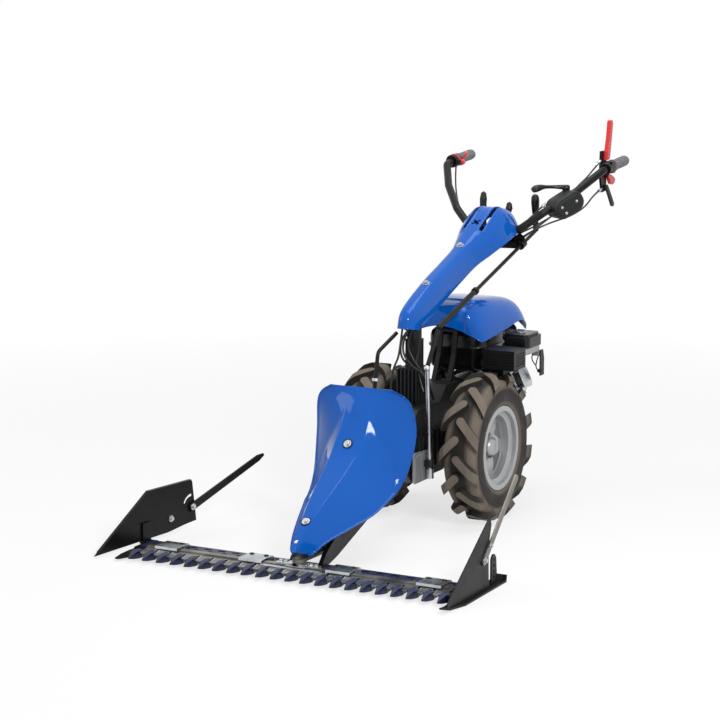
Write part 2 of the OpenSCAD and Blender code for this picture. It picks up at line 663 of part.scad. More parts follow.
// Swath board: a sheet that leans outwards at the front, with a rolled edge and a curved slot
module on_board() translate([board_x, board_y, 0]) rotate([0, 0, 90 - board_yaw]) rotate([90, 0, 0])
    mirror([1, 0, 0]) children();
module swath_board() color(black) placed() on_board() difference() {
    union() {
        linear_extrude(sheet_t) polygon([[4, 30], [22, board_h - 8], [30, board_h], [240, board_h],
            [board_len - 8, 14], [board_len, 8], [140, 16], [60, 26]]);
        translate([30, board_h - 4, -4]) cube([210, 4, sheet_t + 8]);
        translate([240, board_h, 0]) rotate([0, 0, -atan2(board_h - 14, board_len - 248)])
            translate([0, -4, -3]) cube([norm([board_h - 14, board_len - 248]) - 8, 4, sheet_t + 6]);
    }
    translate([board_pivot[0], board_pivot[1], -1]) {
        rotate([0, 0, 30]) rotate_extrude(angle = 56) translate([board_slot_r - 4.6, 0])
            square([9.2, sheet_t + 2]);
        for (a = [30, 86]) rotate([0, 0, a]) translate([board_slot_r, 0]) cylinder(h = sheet_t + 2, r = 5);
        cylinder(h = 40, r = 5 + running);
    }
}

// Swath stick: swings up and down on its bolt at the rear of the board
module swath_stick() color(black) placed() on_board() translate([board_pivot[0], board_pivot[1], 0]) {
    translate([0, 0, -gap - 1]) cylinder(h = sheet_t + 2 * gap + 2, r = 5);
    translate([0, 0, -gap - 6]) cylinder(h = 6, r = 10);
    translate([0, 0, sheet_t + gap]) rotate([0, 0, 163]) linear_extrude(6) polygon([[-14, -13], [-14, 13],
        [swath_stick_len - 30, 11], [swath_stick_len, 5], [swath_stick_len, -3],
        [swath_stick_len - 30, -11]]);
}

// Left shoe with a pointed nose, its blade and the slotted height plate
module left_shoe() color(black) placed() {
    x = blade_x + sole_out - blade_sole_w;
    start = first_x + (finger_count - 1) * finger_pitch + tail_half + 1;
    sole(x, blade_sole_w, shoe_back, nose_y, 16);
    translate([start, bar_y + 4, sole_t]) cube([x + 20 - start, bar_w - 8, bar_z - sole_t]);
    side_plate([[shoe_back, 0], [shoe_back, sole_t], [shoe_back + 5, 22], [shoe_back + 10, 22],
        [shoe_back + 6, 0]], x, blade_sole_w);
}
module divider_blade() color(black) placed() difference() {
    side_plate([[nose_y + 24, 16], [nose_y + 26, 26], [bar_y + 122, 217], [bar_y + 132, 214],
        [bar_y + 138, 196],
        [bar_y + 118, 130], [bar_y + 122, 40], [bar_y + 122, sole_t], [nose_y + 130, sole_t]],
        blade_x, sheet_t);
    translate([blade_x - 20, blade_pivot[0], blade_pivot[1]]) rotate([0, 90, 0])
        cylinder(h = 40, r = 5 + running);
}
module height_plate() color(zinc) placed() difference() {
    side_plate([[plate_y + 21, sole_t], [plate_y - 21, sole_t], [plate_y - 21, 84], [plate_y - 11, 96],
        [plate_y + 1, 96], [plate_y + 13, 84]], blade_x - 6, 5);
    for (z = [26, 44, 62, 80]) translate([blade_x - 20, plate_y - 4, z]) rotate([0, 90, 0])
        cylinder(h = 30, r = 5);
}
module divider_stick() color(steel) placed() translate([blade_x, blade_pivot[0], blade_pivot[1]]) {
    translate([-gap - 1, 0, 0]) rotate([0, 90, 0]) cylinder(h = sheet_t + 2 * gap + 2, r = 5);
    translate([-gap - 6, 0, 0]) rotate([0, 90, 0]) cylinder(h = 6, r = 9);
    translate([sheet_t + gap, 0, 0]) rotate([42.4, 0, 0]) translate([0, -16, -11]) rotate([90, 0, 90])
        linear_extrude(5) round_rect([divider_stick_len, 22], 10);
}

// Engine
module crankcase() color(black) placed() {
    translate([-108, engine_y, crank_z - 104]) cube([196, engine_len, 12]);
    translate([-96, engine_y, crank_z - 92]) cube([172, engine_len, 150]);
    translate([0, engine_y, crank_z]) rotate([-90, 0, 0]) cylinder(h = engine_len, r = 92);
}
// Finned barrel and head, leaning out to the left of the machine
module on_barrel() translate([0, barrel_y, crank_z]) rotate([0, 90 - cylinder_lean, 0]) children();
module engine_barrel() color(cast_grey) placed() on_barrel() {
    translate([-46, 8 - fin_half, barrel_foot]) cube([92, 2 * fin_half - 16, head_dist - barrel_foot]);
    for (d = [104 : 11 : head_dist - 4]) translate([-56, -fin_half, d]) cube([112, 2 * fin_half, 4]);
}
module rocker_cover() color(zinc) placed() on_barrel() translate([0, 0, head_dist]) {
    translate([-44, -fin_half, 0]) linear_extrude(5) round_rect([88, 2 * fin_half], 14);
    translate([-37, 6 - fin_half, 5]) linear_extrude(rocker_t_cover - 5)
        round_rect([74, 2 * fin_half - 12], 18);
}
module blower_housing() color(black) placed() translate([0, engine_y + engine_len, crank_z])
    rotate([-90, 0, 0]) difference() {
    cylinder(h = 62, r = 112);
    translate([0, 0, 3]) cylinder(h = 60, r = 106);
}
module recoil_cover() color(black) placed() translate([0, engine_y + engine_len + 62, crank_z])
    rotate([-90, 0, 0]) difference() {
    union() {
        cylinder(h = 6, r = 112);
        translate([0, 0, 6 - eps]) rotate_extrude() polygon([[0, 0], [98, 0], [92, 22], [60, 34], [0, 36]]);
        translate([-74, -74, 6]) rotate([0, 0, 45]) translate([-16, -14, 0]) cube([40, 28, 22]);
    }
    for (i = [0 : 11]) rotate([0, 0, i * 30]) translate([62, -4, -1]) cube([24, 8, 60]);
}
module starter_grip() color(black) placed()
    translate([-74, engine_y + engine_len + 62 + 18, crank_z + 74]) rotate([0, -45, 0]) {
    translate([0, 0, 16 + gap]) cylinder(h = 19, r = 5);
    translate([-20, -8, 34]) cube([40, 16, 16]);
}
module muffler() color(black) placed() difference() {
    union() {
        translate([158, 60, muffler_z]) cube([114, 96, 66]);
        translate([150, 148, stub_z - 8]) cube([44, 8, muffler_z - stub_z + 11]);
        rod([170, 152, stub_z], [170, barrel_y - fin_half, stub_z], 15);
    }
    for (z = [13 : 9 : 53], c = [0, 1]) translate([166 + c * 54, 50, muffler_z + z]) cube([44, 13, 4]);
    for (z = [13 : 9 : 53]) translate([269, 76, muffler_z + z]) cube([20, 64, 4]);
}
module filter_base() color(cast_grey) placed() {
    translate([166, 222, filter_z - 24]) linear_extrude(24) round_rect([84, 116], 16);
    translate([140, 246, 484]) cube([50, 48, filter_z - 24 - 484 + eps]);
    on_barrel() translate([-66, -10, 180]) cube([10, 50, 26]);
    translate([250, 326, 440]) cube([4, 32, 90]);
    translate([226, 318, filter_z - 40]) cube([24 + eps, 18, 24]);
}
module filter_cover() color(black) placed() difference() {
    union() {
        translate([161, 214, filter_z]) linear_extrude(36) round_rect([94, 128], 20);
        translate([169, 222, filter_z + 35]) linear_extrude(10) round_rect([78, 112], 16);
    }
    translate([204, 272, filter_z + 30]) cylinder(h = 60, r = 4 + running);
}
module filter_nut() color(zinc) placed() translate([204, 272, filter_z + 32]) {
    cylinder(h = 14, r = 4);
    translate([0, 0, 13 + gap]) cylinder(h = 3, r = 16);
    translate([-13, -2, 16]) cube([26, 4, 9]);
}
module fuel_tank() color(black) placed() {
    translate([-81, 114, 470]) linear_extrude(84) round_rect([208, 210], 44);
    translate([-87, 108, 554 - eps]) linear_extrude(4) round_rect([220, 222], 48);
    translate([-81, 114, 558 - eps]) linear_extrude(58) round_rect([208, 210], 44);
    for (q = [[-80, 54], [56, barrel_y - fin_half - engine_y - 28]])
        translate([q[0], engine_y + 24, 418.5]) cube([24, q[1], 52]);
    translate([20, 200, 616 - eps]) cylinder(h = hood_top - cover_t - 2 * gap - 616, r = 22);
}

// Hood over the tank, with skirts that arch over the engine's sides
hood_half = hood_w / 2;
hood_stations = [
    [52, 634, hood_half - 15, 80, 585, 1.7], [60, hood_top - 26, hood_half - 8, 104, 587, 4],
    [104, hood_top - 5, hood_half - 3, 172, 596, 5], [200, hood_top, hood_half, 252, 606, 5.5],
    [330, hood_top - 10, hood_half, 344, 619, 5.5], [418, hood_top - 26, hood_half - 2, 402, 617, 5],
    [466, hood_top - 56, hood_half - 7, 440, 598, 4], [484, hood_top - 100, hood_half - 14, 454, 578, 3]
];
module hood() color(blue) placed() cover_shell(hood_stations, 22, 12, cover_t);

// Two straps from the gearbox up to the front of the hood, and the bar across them
module hood_bracket() color(black) placed() {
    for (x = [-16, 40]) side_plate([[20, 452], [40, 452], [72, 540], [84, 612], [74, 612], [60, 540]], x, 16);
    translate([-16, 74, 612 - eps]) cube([72, 10, 8]);
}

// Column foot: finned casting and post with the tilt eye
module column_post() color(black) placed() difference() {
    union() {
        translate([-36, post_y - 40, 404]) cube([72, 76, 122]);
        for (x = [-42 : 14 : 36]) translate([x, post_y - 50, 404]) cube([6, 96, 118]);
        translate([-post_half, post_y - 20, 520]) cube([2 * post_half, 40, tilt_z - 556 - 12]);
        translate([-14, tilt_y, tilt_z]) rotate([0, 90, 0]) cylinder(h = 28, r = 20);
        side_plate([[post_y + 20, 600], [post_y - 20, 600], [tilt_y - 20, tilt_z], [tilt_y, tilt_z + 10],
            [tilt_y + 20, tilt_z], [post_y + 20, 640]], -14, 28);
    }
    translate([-60, tilt_y, tilt_z]) rotate([0, 90, 0]) cylinder(h = 120, r = tilt_pin_d / 2 + running);
}

// Column arm: fork on the tilt pin, then the tube that runs back under the cover
module column_arm() color(black) placed() {
    cheek = 14 + gap;
    for (s = [-1, 1]) {
        x = s > 0 ? cheek : -cheek - 9;
        translate([x, tilt_y, tilt_z]) rotate([0, 90, 0]) cylinder(h = 9, r = 19);
        side_plate([[tilt_y - 8, tilt_z + 17], [tilt_y + 17, tilt_z - 8], [tilt_y + 96, tilt_z + 42],
            [tilt_y + 82, tilt_z + 79]], x, 9);
    }
    translate([-cheek - 1, tilt_y, tilt_z]) rotate([0, 90, 0])
        cylinder(h = 2 * cheek + 2, r = tilt_pin_d / 2);
    translate([-cheek - 9, tilt_y + 62, tilt_z + 38]) cube([2 * cheek + 18, 34, 36]);
    difference() {
        union() {
            rod([0, tilt_y + 84, tilt_z + 58], [0, 484, 898], 19);
            translate([-44, 466, 884]) cube([88, 60, 44]);
        }
        for (q = [bar_path, [for (b = bar_path) flip(b)]]) rod(q[0] - unit(q[1] - q[0]), q[1], bar_r + 0.2);
    }
    translate([-44, 480, 866]) cube([88, 34, 18 + eps]);
    for (q = [drive_pivot, rear_pivot]) difference() {
        translate([q[0] + 7, 520, q[2] - 20]) cube([13, q[1] - 508, 36]);
        translate([q[0], q[1], q[2]]) rotate([0, 90, 0]) cylinder(h = 60, r = lever_pin_r + running);
    }
    difference() {
        union() {
            translate([40, 486, 858]) cube([48, 22, 20]);
            rod(gear_at(0.815), gear_at(0.85), rod_r + 8);
        }
        rod(gear_at(0.7), gear_at(0.95), rod_r + running);
    }
}
function gear_at(t) = gear_foot + (gear_top - gear_foot) * t;
column_stations = [
    [-232, 664, 38, -188, 656, 3], [-202, 722, 45, -112, 688, 3.4], [-55, 793, 46, 8, 735, 3.6],
    [90, 846, 46, 130, 780, 3.6], [195, 887, 50, 232, 820, 3.4], [258, 944, 62, 315, 852, 3],
    [338, 990, 76, 395, 888, 2.8], [428, 1006, 80, 462, 905, 3], [508, 990, 77, 522, 907, 3.2],
    [546, 958, 69, 548, 910, 3.4]
];
module long_slot(x, y, len, w) translate([x, y, 900]) linear_extrude(140) {
    translate([-w / 2, 0]) square([w, len]);
    for (e = [0, len]) translate([0, e]) circle(w / 2);
}
module column_cover() color(blue) placed() difference() {
    cover_shell(column_stations, 30, 11, cover_t);
    for (s = [-1, 1]) long_slot(s * 36, 330, 110, 12);
    long_slot(0, 366, 60, 9);
    translate([0, 322, 900]) for (a = [40, -40]) rotate([0, 0, a]) translate([-15, -4, 0]) cube([30, 8, 140]);
    for (q = [bar_path, [for (b = bar_path) flip(b)]]) rod(q[0], q[1], bar_r + 0.4);
}

// Handlebars, grips and what they carry
function flip(p) = [-p[0], p[1], p[2]];
module left_handlebar() color(black) placed() bent_rod(bar_path, bar_r, bar_bend);
module right_handlebar() color(black) placed() {
    bent_rod([for (p = bar_path) flip(p)], bar_r, bar_bend);
    rod(flip(grip_start - grip_dir * 40), flip(grip_start - grip_dir * 10), bar_r + 5);
}
module grip() difference() {
    along(grip_start, bar_path[6]) {
        translate([0, 0, 0]) cylinder(h = grip_len, r = grip_d / 2);
        cylinder(h = 6, r = grip_d / 2 + 5);
        for (d = [16 : 9 : grip_len - 12]) translate([0, 0, d]) cylinder(h = 4, r = grip_d / 2 + 1.2);
    }
    rod(grip_start - grip_dir, bar_path[6], bar_r);
}
module grips() color("#6d7074") placed() {
    grip();
    mirror([1, 0, 0]) grip();
}

// Upright plate on the left bar that carries the clutch and reverse levers
module clutch_bracket() color(black) placed() difference() {
    union() {
        side_plate([[bracket_y - 16, grip_z + 46], [bracket_y + 26, grip_z + 46],
            [bracket_y + 34, grip_z - 10],
            [bracket_y + 34, grip_z - 98], [bracket_y - 4, grip_z - 102], [bracket_y - 22, grip_z - 40]],
            grip_x - 26, 8);
        translate([grip_x - 22, bracket_y - 8, grip_z - 32]) cube([42, 28, 42]);
    }
    rod(bar_path[4], bar_path[5], bar_r + 0.2);
    for (p = [clutch_pivot, reverse_pivot, latch_pivot]) translate([grip_x - 60, p[1], p[2]])
        rotate([0, 90, 0])
        cylinder(h = 60, r = 4 + running);
}
module lever_pin(p) translate([grip_x - 26 - gap - 4, p[1], p[2]]) rotate([0, 90, 0]) {
    cylinder(h = 8 + 2 * gap + 5, r = 4);
    cylinder(h = 4, r = 8);
}
lever_x = grip_x - 18 + gap;
module clutch_lever() color(red) placed() {
    lever_pin(clutch_pivot);
    side_plate([for (q = [[-11, -14], [10, -12], [16, 10], [26, 60], [36, clutch_len - 12], [28, clutch_len],
        [18, clutch_len - 4], [8, 64], [-8, 14]]) [clutch_pivot[1] + q[0], clutch_pivot[2] + q[1]]],
        lever_x, 16);
}
module latch() color(red) placed() {
    lever_pin(latch_pivot);
    side_plate([for (q = [[-7, -7], [4, -9], [22, -34], [36, -31], [26, -4], [6, 7]])
        [latch_pivot[1] + q[0], latch_pivot[2] + q[1]]], lever_x, 12);
}
module reverse_lever() color(black) placed() {
    lever_pin(reverse_pivot);
    side_plate([for (q = [[-9, 8], [9, 8], [36, -20], [76, -66], [70, -76], [60, -74], [22, -28]])
        [reverse_pivot[1] + q[0], reverse_pivot[2] + q[1]]], lever_x, 9);
}
// Throttle collar with a thumb tab, turning on the sleeve in front of the right grip
module throttle_lever() color(red) placed() difference() {
    p = flip(grip_start - grip_dir * 36);
    union() {
        rod(p, flip(grip_start - grip_dir * 14), bar_r + 10);
        translate(p + [0, 2, 0]) rotate([0, 28, 0]) translate([-5, 0, bar_r + 3]) cube([10, 14, 22]);
    }
    rod(flip(grip_start - grip_dir * 60), flip(grip_start), bar_r + 5 + running);
}

// Lever housing on the left bar, with two cable adjusters, and its paddle
module lever_housing() color(black) placed() difference() {
    union() {
        along(bar_path[2], bar_path[3]) {
            translate([-22, -44, 22]) cube([58, 70, 92]);
            translate([14, -46, 108]) rotate([-90, 0, 0]) cylinder(h = 44, r = 36);
        }
        translate(paddle_pivot - [0, 0, 46]) cylinder(h = 46, r = 13);
    }
    bent_rod(bar_path, bar_r + 0.3, bar_bend);
    translate(paddle_pivot - [0, 0, 14]) cylinder(h = 30, r = 6 + running);
}
module paddle_lever() color(black) placed() {
    translate(paddle_pivot - [0, 0, 12]) cylinder(h = 12 + gap + 1, r = 6);
    translate(paddle_pivot + [0, 0, gap]) cylinder(h = 16, r = 13);
    bent_rod([paddle_pivot + [0, 0, 9], paddle_pivot + [-50, -36, 18], paddle_pivot + [-97, -90, 20]],
        7.5, 40);
}
// Two levers that stand up behind the column head, each on a pin in an ear of the arm
module rear_stick(pivot, lean, len) {
    translate(pivot + [-6.5, 0, 0]) rotate([0, 90, 0]) {
        cylinder(h = 13, r = 10);
        cylinder(h = 24.5, r = lever_pin_r);
    }
    rod(pivot, pivot + lean, 5.5);
    along(pivot + lean, pivot + lean + [0, 4, 60]) rotate_extrude() polygon([[0, -4], [8, -4], [12, 10],
        [13, len - 26], [9, len - 6], [0, len]]);
}
module drive_lever() color(black) placed() rear_stick(drive_pivot, [-20, 16, 70], 64);
module rear_lever() color(black) placed() rear_stick(rear_pivot, [0, 26, 64], 36);

// Gear change: upper rod with its handle, a link, and the plated rod down to the gearbox
module gear_rod() color(black) placed() {
    u = unit(gear_top - gear_foot);
    translate(gear_foot) sphere(knuckle_r);
    rod(gear_foot, gear_foot + u * 290, rod_r + 3);
    rod(gear_foot + u * 284, gear_foot + u * 298, rod_r + 6);
    rod(gear_foot + u * 290, gear_top, rod_r);
    rod(gear_top - u * 12, gear_top - u * 12 + [0, -10, 124], 10);
}
module gear_link() color(black) placed() {
    u = unit(gear_foot - chrome_top);
    rod(chrome_top + u * (knuckle_r + gap), gear_foot - u * (knuckle_r + gap), rod_r + 1);
}
module chrome_rod() color(zinc) placed() {
    u = unit(chrome_top - chrome_foot);
    rod(chrome_foot, chrome_top, rod_r);
    translate(chrome_top) sphere(knuckle_r);
    rod(chrome_foot - u * 24, chrome_foot + u * 8, 12);
}
// Drive engagement rod, bent up from the front housing towards the column
module drive_rod() color(black) placed() bent_rod(drive_path, rod_r, 30);

// Cables held from the levers to the column, and from the column to the gearbox
module handle_cables() color(black) placed() {
    mid_y = bar_path[3][1];
    cable([[grip_x - 23, bracket_y + 18, grip_z - 101.9], [grip_x - 28, bracket_y + 31, grip_z - 124],
        [grip_x - 45, bracket_y - 16, grip_z - 152], [215, mid_y + 28, 950], [150, mid_y - 77, 916],
        [95, 528, 886],
        [52, 518, 860]], 3, 30);
    cable([[7 - grip_x, bracket_y, grip_z - 32], [22 - grip_x, bracket_y - 32, grip_z - 62],
        [52 - grip_x, bracket_y - 74, grip_z - 102], [-190, mid_y - 11, 976], [-150, mid_y - 72, 946],
        [-90, 520, 900], [-50, 500, 862]], 3, 30);
}
module lower_cables() color(black) placed() {
    cable([[30, -150, 660], [27.9, -150, 600], [32, -160, 560], [50, -176, 520], [60, -180, 460],
        [64, -120, 415]], 3.5, 22);
    cable([[-30, -146, 660], [-27.9, -146, 600], [-34, -165, 560], [-52, -192, 510], [-58, -200, 430]],
        3.5, 22);
    cable([[31, -122, 664], [27.9, -130, 605], [32, -112, 566], [50, -84, 516], [58, -70, 456]], 3.5, 22);
}

gearbox_housing();
drive_housing();
bar_support();
bar_plate();
guards();
bar_bolts();
knife_clips();
right_shoe();
swath_board();
left_shoe();
divider_blade();
height_plate();
front_cover();
bell_housing();
crankcase();
engine_barrel();
rocker_cover();
blower_housing();
recoil_cover();
muffler();
filter_base();
filter_cover();
fuel_tank();
hood();
hood_bracket();
column_post();
lower_cables();
left_tyre();
left_rim();
left_hub();
right_tyre();
right_rim();
right_hub();
knife_back();
knife_sections();
knife_head();
rocker_arm();
swath_stick();
divider_stick();
column_arm();
column_cover();
left_handlebar();
right_handlebar();
grips();
clutch_bracket();
lever_housing();
handle_cables();
clutch_lever();
latch();
reverse_lever();
throttle_lever();
paddle_lever();
drive_lever();
rear_lever();
gear_rod();
gear_link();
chrome_rod();
drive_rod();
filter_nut();
starter_grip();
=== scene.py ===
"""Looks of the motor mower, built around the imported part.

Tables are in millimetres in the machine's own layout: the wheel axle is at y = 0, the ground at z = 0, the cutter
bar lies to -Y and the handles to +Y. place() turns them into metres of the shared frame.
"""

import json
import math

import bpy
import numpy as np
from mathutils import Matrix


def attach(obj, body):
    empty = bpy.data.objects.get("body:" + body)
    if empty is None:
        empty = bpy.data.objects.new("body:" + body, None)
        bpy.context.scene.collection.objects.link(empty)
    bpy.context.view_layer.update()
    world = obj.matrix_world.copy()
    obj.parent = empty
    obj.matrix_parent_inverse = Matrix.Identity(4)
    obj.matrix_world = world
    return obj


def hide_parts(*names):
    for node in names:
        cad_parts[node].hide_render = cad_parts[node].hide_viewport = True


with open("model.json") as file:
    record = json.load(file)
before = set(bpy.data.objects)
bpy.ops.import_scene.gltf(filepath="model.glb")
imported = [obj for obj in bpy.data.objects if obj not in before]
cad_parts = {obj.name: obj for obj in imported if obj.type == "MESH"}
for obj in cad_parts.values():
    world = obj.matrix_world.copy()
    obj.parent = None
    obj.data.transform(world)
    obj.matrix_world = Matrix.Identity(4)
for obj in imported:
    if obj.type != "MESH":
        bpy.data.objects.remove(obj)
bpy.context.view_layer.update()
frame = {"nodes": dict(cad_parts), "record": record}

OFFSET = np.array([41.09, 74.0, 0.0])  # where the layout's origin lies in the shared frame
AXLE_Z = 247.5  # height of the wheel axle
HALF_TRACK = 200  # from the machine's middle to the middle of a tyre
PITCH = 50.8  # guards and knife sections stand two inches apart
UP, LEFT = (0, 0, 1), (1, 0, 0)  # the machine's own directions
WHITE = (1, 1, 1, 1)


def place(points):
    """Layout millimetres to metres of the shared frame."""
    return (np.asarray(points, float) + OFFSET) / 1000


def linear(code):
    """A colour as it looks on the screen, '#rrggbb', to linear light."""
    shown = np.array([int(code[i : i + 2], 16) for i in (1, 3, 5)]) / 255
    light = np.where(shown <= 0.04045, shown / 12.92, ((shown + 0.055) / 1.055) ** 2.4)
    return (*light.tolist(), 1.0)


def per_mm(size):
    """Texture scale whose pattern repeats about every `size` millimetres."""
    return 1000 / size


# Materials
PATCH = 60  # about how wide the duller and shinier patches of a surface are, in mm
# The tyre's carcass has a squared oval for its section, in metres: how far its middle lies from the axle, its half
# height, its half width, and the power of its outline
CARCASS_REACH, CARCASS_HALF_HEIGHT, CARCASS_HALF_WIDTH, CARCASS_POWER = 0.17775, 0.04975, 0.062, 0.6


def add(tree, kind, inputs=None, **settings):
    """Adds one node: settings are its own choices, inputs are links or plain values."""
    node = tree.nodes.new("ShaderNode" + kind)
    for key, value in settings.items():
        setattr(node, key, value)
    for key, value in (inputs or {}).items():
        if isinstance(value, bpy.types.NodeSocket):
            tree.links.new(value, node.inputs[key])
        else:
            node.inputs[key].default_value = value
    return node


def finish_of(name, edge, grain, depth, low, high, **settings):
    """A material whose edges look rounded by `edge` mm, with grain of one size and depth in mm and a roughness
    that drifts between low and high from patch to patch. Other settings go on the shader's sockets."""
    material = bpy.data.materials.new(name)
    material.use_nodes = True
    tree = material.node_tree
    shader = tree.nodes["Principled BSDF"]
    where = add(tree, "TexCoord").outputs["Object"]
    rounded = add(tree, "Bevel", {"Radius": edge / 1000}, samples=4)
    fine = add(tree, "TexNoise", {"Vector": where, "Scale": per_mm(grain), "Detail": 3.0})
    bump = add(tree, "Bump", {"Height": fine.outputs["Fac"], "Distance": depth / 1000, "Strength": 1.0,
                              "Normal": rounded.outputs["Normal"]})
    tree.links.new(bump.outputs["Normal"], shader.inputs["Normal"])
    patches = add(tree, "TexNoise", {"Vector": where, "Scale": per_mm(PATCH), "Detail": 4.0})
    sheen = add(tree, "MapRange", {"Value": patches.outputs["Fac"], "From Min": 0.3, "From Max": 0.7,
                                   "To Min": low, "To Max": high})
    tree.links.new(sheen.outputs["Result"], shader.inputs["Roughness"])
    for key, value in settings.items():
        shader.inputs[key.replace("_", " ")].default_value = value
    return material, tree, shader, where, patches


def two_tones(parts, first, second):
    """Colours the surface from first to second, patch by patch."""
    material, tree, shader, _, patches = parts
    ramp = add(tree, "ValToRGB", {"Fac": patches.outputs["Fac"]})
    stops = ramp.color_ramp.elements
    stops[0].position, stops[1].position = 0.35, 0.65
    stops[0].color, stops[1].color = linear(first), linear(second)
    tree.links.new(ramp.outputs["Color"], shader.inputs["Base Color"])
    return material


# Moulded blue plastic: deep colour under a hard gloss, with a faint ripple in the reflections
blue_plastic = finish_of("gloss blue moulded plastic", 1.5, 9, 0.006, 0.05, 0.09, Base_Color=linear("#0857b2"),
                         Specular_IOR_Level=0.22)[0]
# Moulded black plastic of the tank and covers: dark, shiny, soft ripple
black_gloss = finish_of("gloss black moulded plastic", 2.0, 7, 0.02, 0.2, 0.32, Base_Color=linear("#0e0f10"),
                        Specular_IOR_Level=0.3)[0]
# Black plastic with an eroded texture: dull, breaks highlights up
black_matte = finish_of("matt black plastic", 1.2, 1.2, 0.03, 0.4, 0.55, Base_Color=linear("#161718"),
                        Specular_IOR_Level=0.3)[0]
# Satin black paint on sheet and bar steel
black_paint = finish_of("satin black paint on steel", 1.2, 3, 0.02, 0.3, 0.44, Base_Color=linear("#0d0d0d"),
                        Specular_IOR_Level=0.2)[0]
# Black paint over a sand casting: grainy skin under the paint
cast_black = finish_of("black paint on cast iron", 2.5, 2.2, 0.12, 0.34, 0.5, Base_Color=linear("#151617"),
                       Specular_IOR_Level=0.35)[0]
# Dark blue dip paint on forged fingers
navy_steel = finish_of("dark blue paint on forged steel", 1.4, 2.5, 0.05, 0.3, 0.45, Base_Color=linear("#1c2240"),
                       Specular_IOR_Level=0.4)[0]
# Rolled steel with dull and bright patches
bare_steel = two_tones(finish_of("rolled bare steel", 0.8, 1.5, 0.02, 0.3, 0.5, Metallic=1.0), "#6f6b66", "#908d88")
# Bright zinc plate with a cool patchy sheen
zinc = two_tones(finish_of("bright zinc plate", 0.8, 2, 0.01, 0.2, 0.36, Metallic=1.0), "#a9aeb2", "#ccd1d4")
# Silver wheel paint
rim_silver = finish_of("silver wheel paint", 1.6, 1.5, 0.02, 0.36, 0.48, Base_Color=linear("#a9abac"), Metallic=0.5)[0]
# Die cast aluminium: pale grey, fine grain
aluminium = finish_of("cast aluminium", 1.4, 1.6, 0.06, 0.42, 0.56, Base_Color=linear("#a2a5a6"), Metallic=0.75)[0]
# Moulded rubber of the grips
grip_grey = finish_of("grey grip rubber", 1.5, 1.0, 0.05, 0.6, 0.75, Base_Color=linear("#78777b"))[0]
# Red plastic levers
red_plastic = finish_of("gloss red plastic", 1.4, 6, 0.01, 0.2, 0.3, Base_Color=linear("#cc2b2b"))[0]
# Cable sleeve
cable = finish_of("black cable sleeve", 0.4, 1.5, 0.01, 0.3, 0.42, Base_Color=linear("#121212"))[0]


def tyre_rubber():
    """Tyre rubber: near black between the lugs, grey-brown dust on the lug faces that touch the ground, a paler bloom
    on the side walls. The carcass section is a squared oval, so the sum of the two offsets from its middle, each
    over its half size and to the power 1/0.6, is 1 on the carcass and more on a lug. A lug's wall lies across the
    way out from that middle, and stays dark."""
    material, tree, shader, where, patches = finish_of("dusty tyre rubber", 2.0, 1.8, 0.08, 0.62, 0.85,
                                                       Specular_IOR_Level=0.25)
    arm = add(tree, "VectorMath", {0: where, 1: place([0, 0, AXLE_Z]).tolist()}, operation="SUBTRACT")
    split = add(tree, "SeparateXYZ", {0: arm.outputs["Vector"]})
    side = add(tree, "Math", {0: split.outputs["X"]}, operation="SIGN")
    across = add(tree, "Math", {0: side.outputs["Value"], 1: -HALF_TRACK / 1000, 2: split.outputs["X"]},
                 operation="MULTIPLY_ADD")
    spoke = add(tree, "VectorMath", {0: arm.outputs["Vector"], 1: (0, 1, 1)}, operation="MULTIPLY")
    reach = add(tree, "VectorMath", {0: spoke.outputs["Vector"]}, operation="LENGTH")
    lift = add(tree, "Math", {0: reach.outputs["Value"], 1: CARCASS_REACH}, operation="SUBTRACT")
    shares = []
    for offset, half in ((lift, CARCASS_HALF_HEIGHT), (across, CARCASS_HALF_WIDTH)):
        share = add(tree, "Math", {0: offset.outputs["Value"], 1: 1 / half}, operation="MULTIPLY")
        size = add(tree, "Math", {0: share.outputs["Value"]}, operation="ABSOLUTE")
        power = add(tree, "Math", {0: size.outputs["Value"], 1: 1 / CARCASS_POWER}, operation="POWER")
        shares.append(power.outputs["Value"])
    oval = add(tree, "Math", {0: shares[0], 1: shares[1]}, operation="ADD")
    spoke_out = add(tree, "VectorMath", {0: spoke.outputs["Vector"]}, operation="NORMALIZE")
    up = add(tree, "VectorMath", {0: spoke_out.outputs["Vector"], "Scale": lift.outputs["Value"]}, operation="SCALE")
    sideways = add(tree, "CombineXYZ", {"X": across.outputs["Value"]})
    way = add(tree, "VectorMath", {0: up.outputs["Vector"], 1: sideways.outputs[0]}, operation="ADD")
    out = add(tree, "VectorMath", {0: way.outputs["Vector"]}, operation="NORMALIZE")
    facing = add(tree, "VectorMath", {0: out.outputs["Vector"], 1: add(tree, "TexCoord").outputs["Normal"]},
                 operation="DOT_PRODUCT")
    raised = add(tree, "MapRange", {"Value": oval.outputs["Value"], "From Min": 1.15, "From Max": 1.35})
    faced = add(tree, "MapRange", {"Value": facing.outputs["Value"], "From Min": 0.45, "From Max": 0.7})
    dust = add(tree, "MapRange", {"Value": patches.outputs["Fac"], "From Min": 0.3, "From Max": 0.7, "To Min": 0.7})
    lug = add(tree, "Math", {0: raised.outputs["Result"], 1: faced.outputs["Result"]}, operation="MULTIPLY")
    face = add(tree, "Math", {0: lug.outputs["Value"], 1: dust.outputs["Result"]}, operation="MULTIPLY")
    bloom = add(tree, "MapRange", {"Value": reach.outputs["Value"], "From Min": 0.15, "From Max": 0.2, "To Min": 0.35,
                                   "To Max": 0.0})
    wall = add(tree, "Mix", {"Factor": bloom.outputs["Result"], "A": linear("#2a2725"), "B": linear("#4b4744")},
               data_type="RGBA")
    both = add(tree, "Mix", {"Factor": face.outputs["Value"], "A": wall.outputs["Result"], "B": linear("#746a5f")},
               data_type="RGBA")
    tree.links.new(both.outputs["Result"], shader.inputs["Base Color"])
    return material


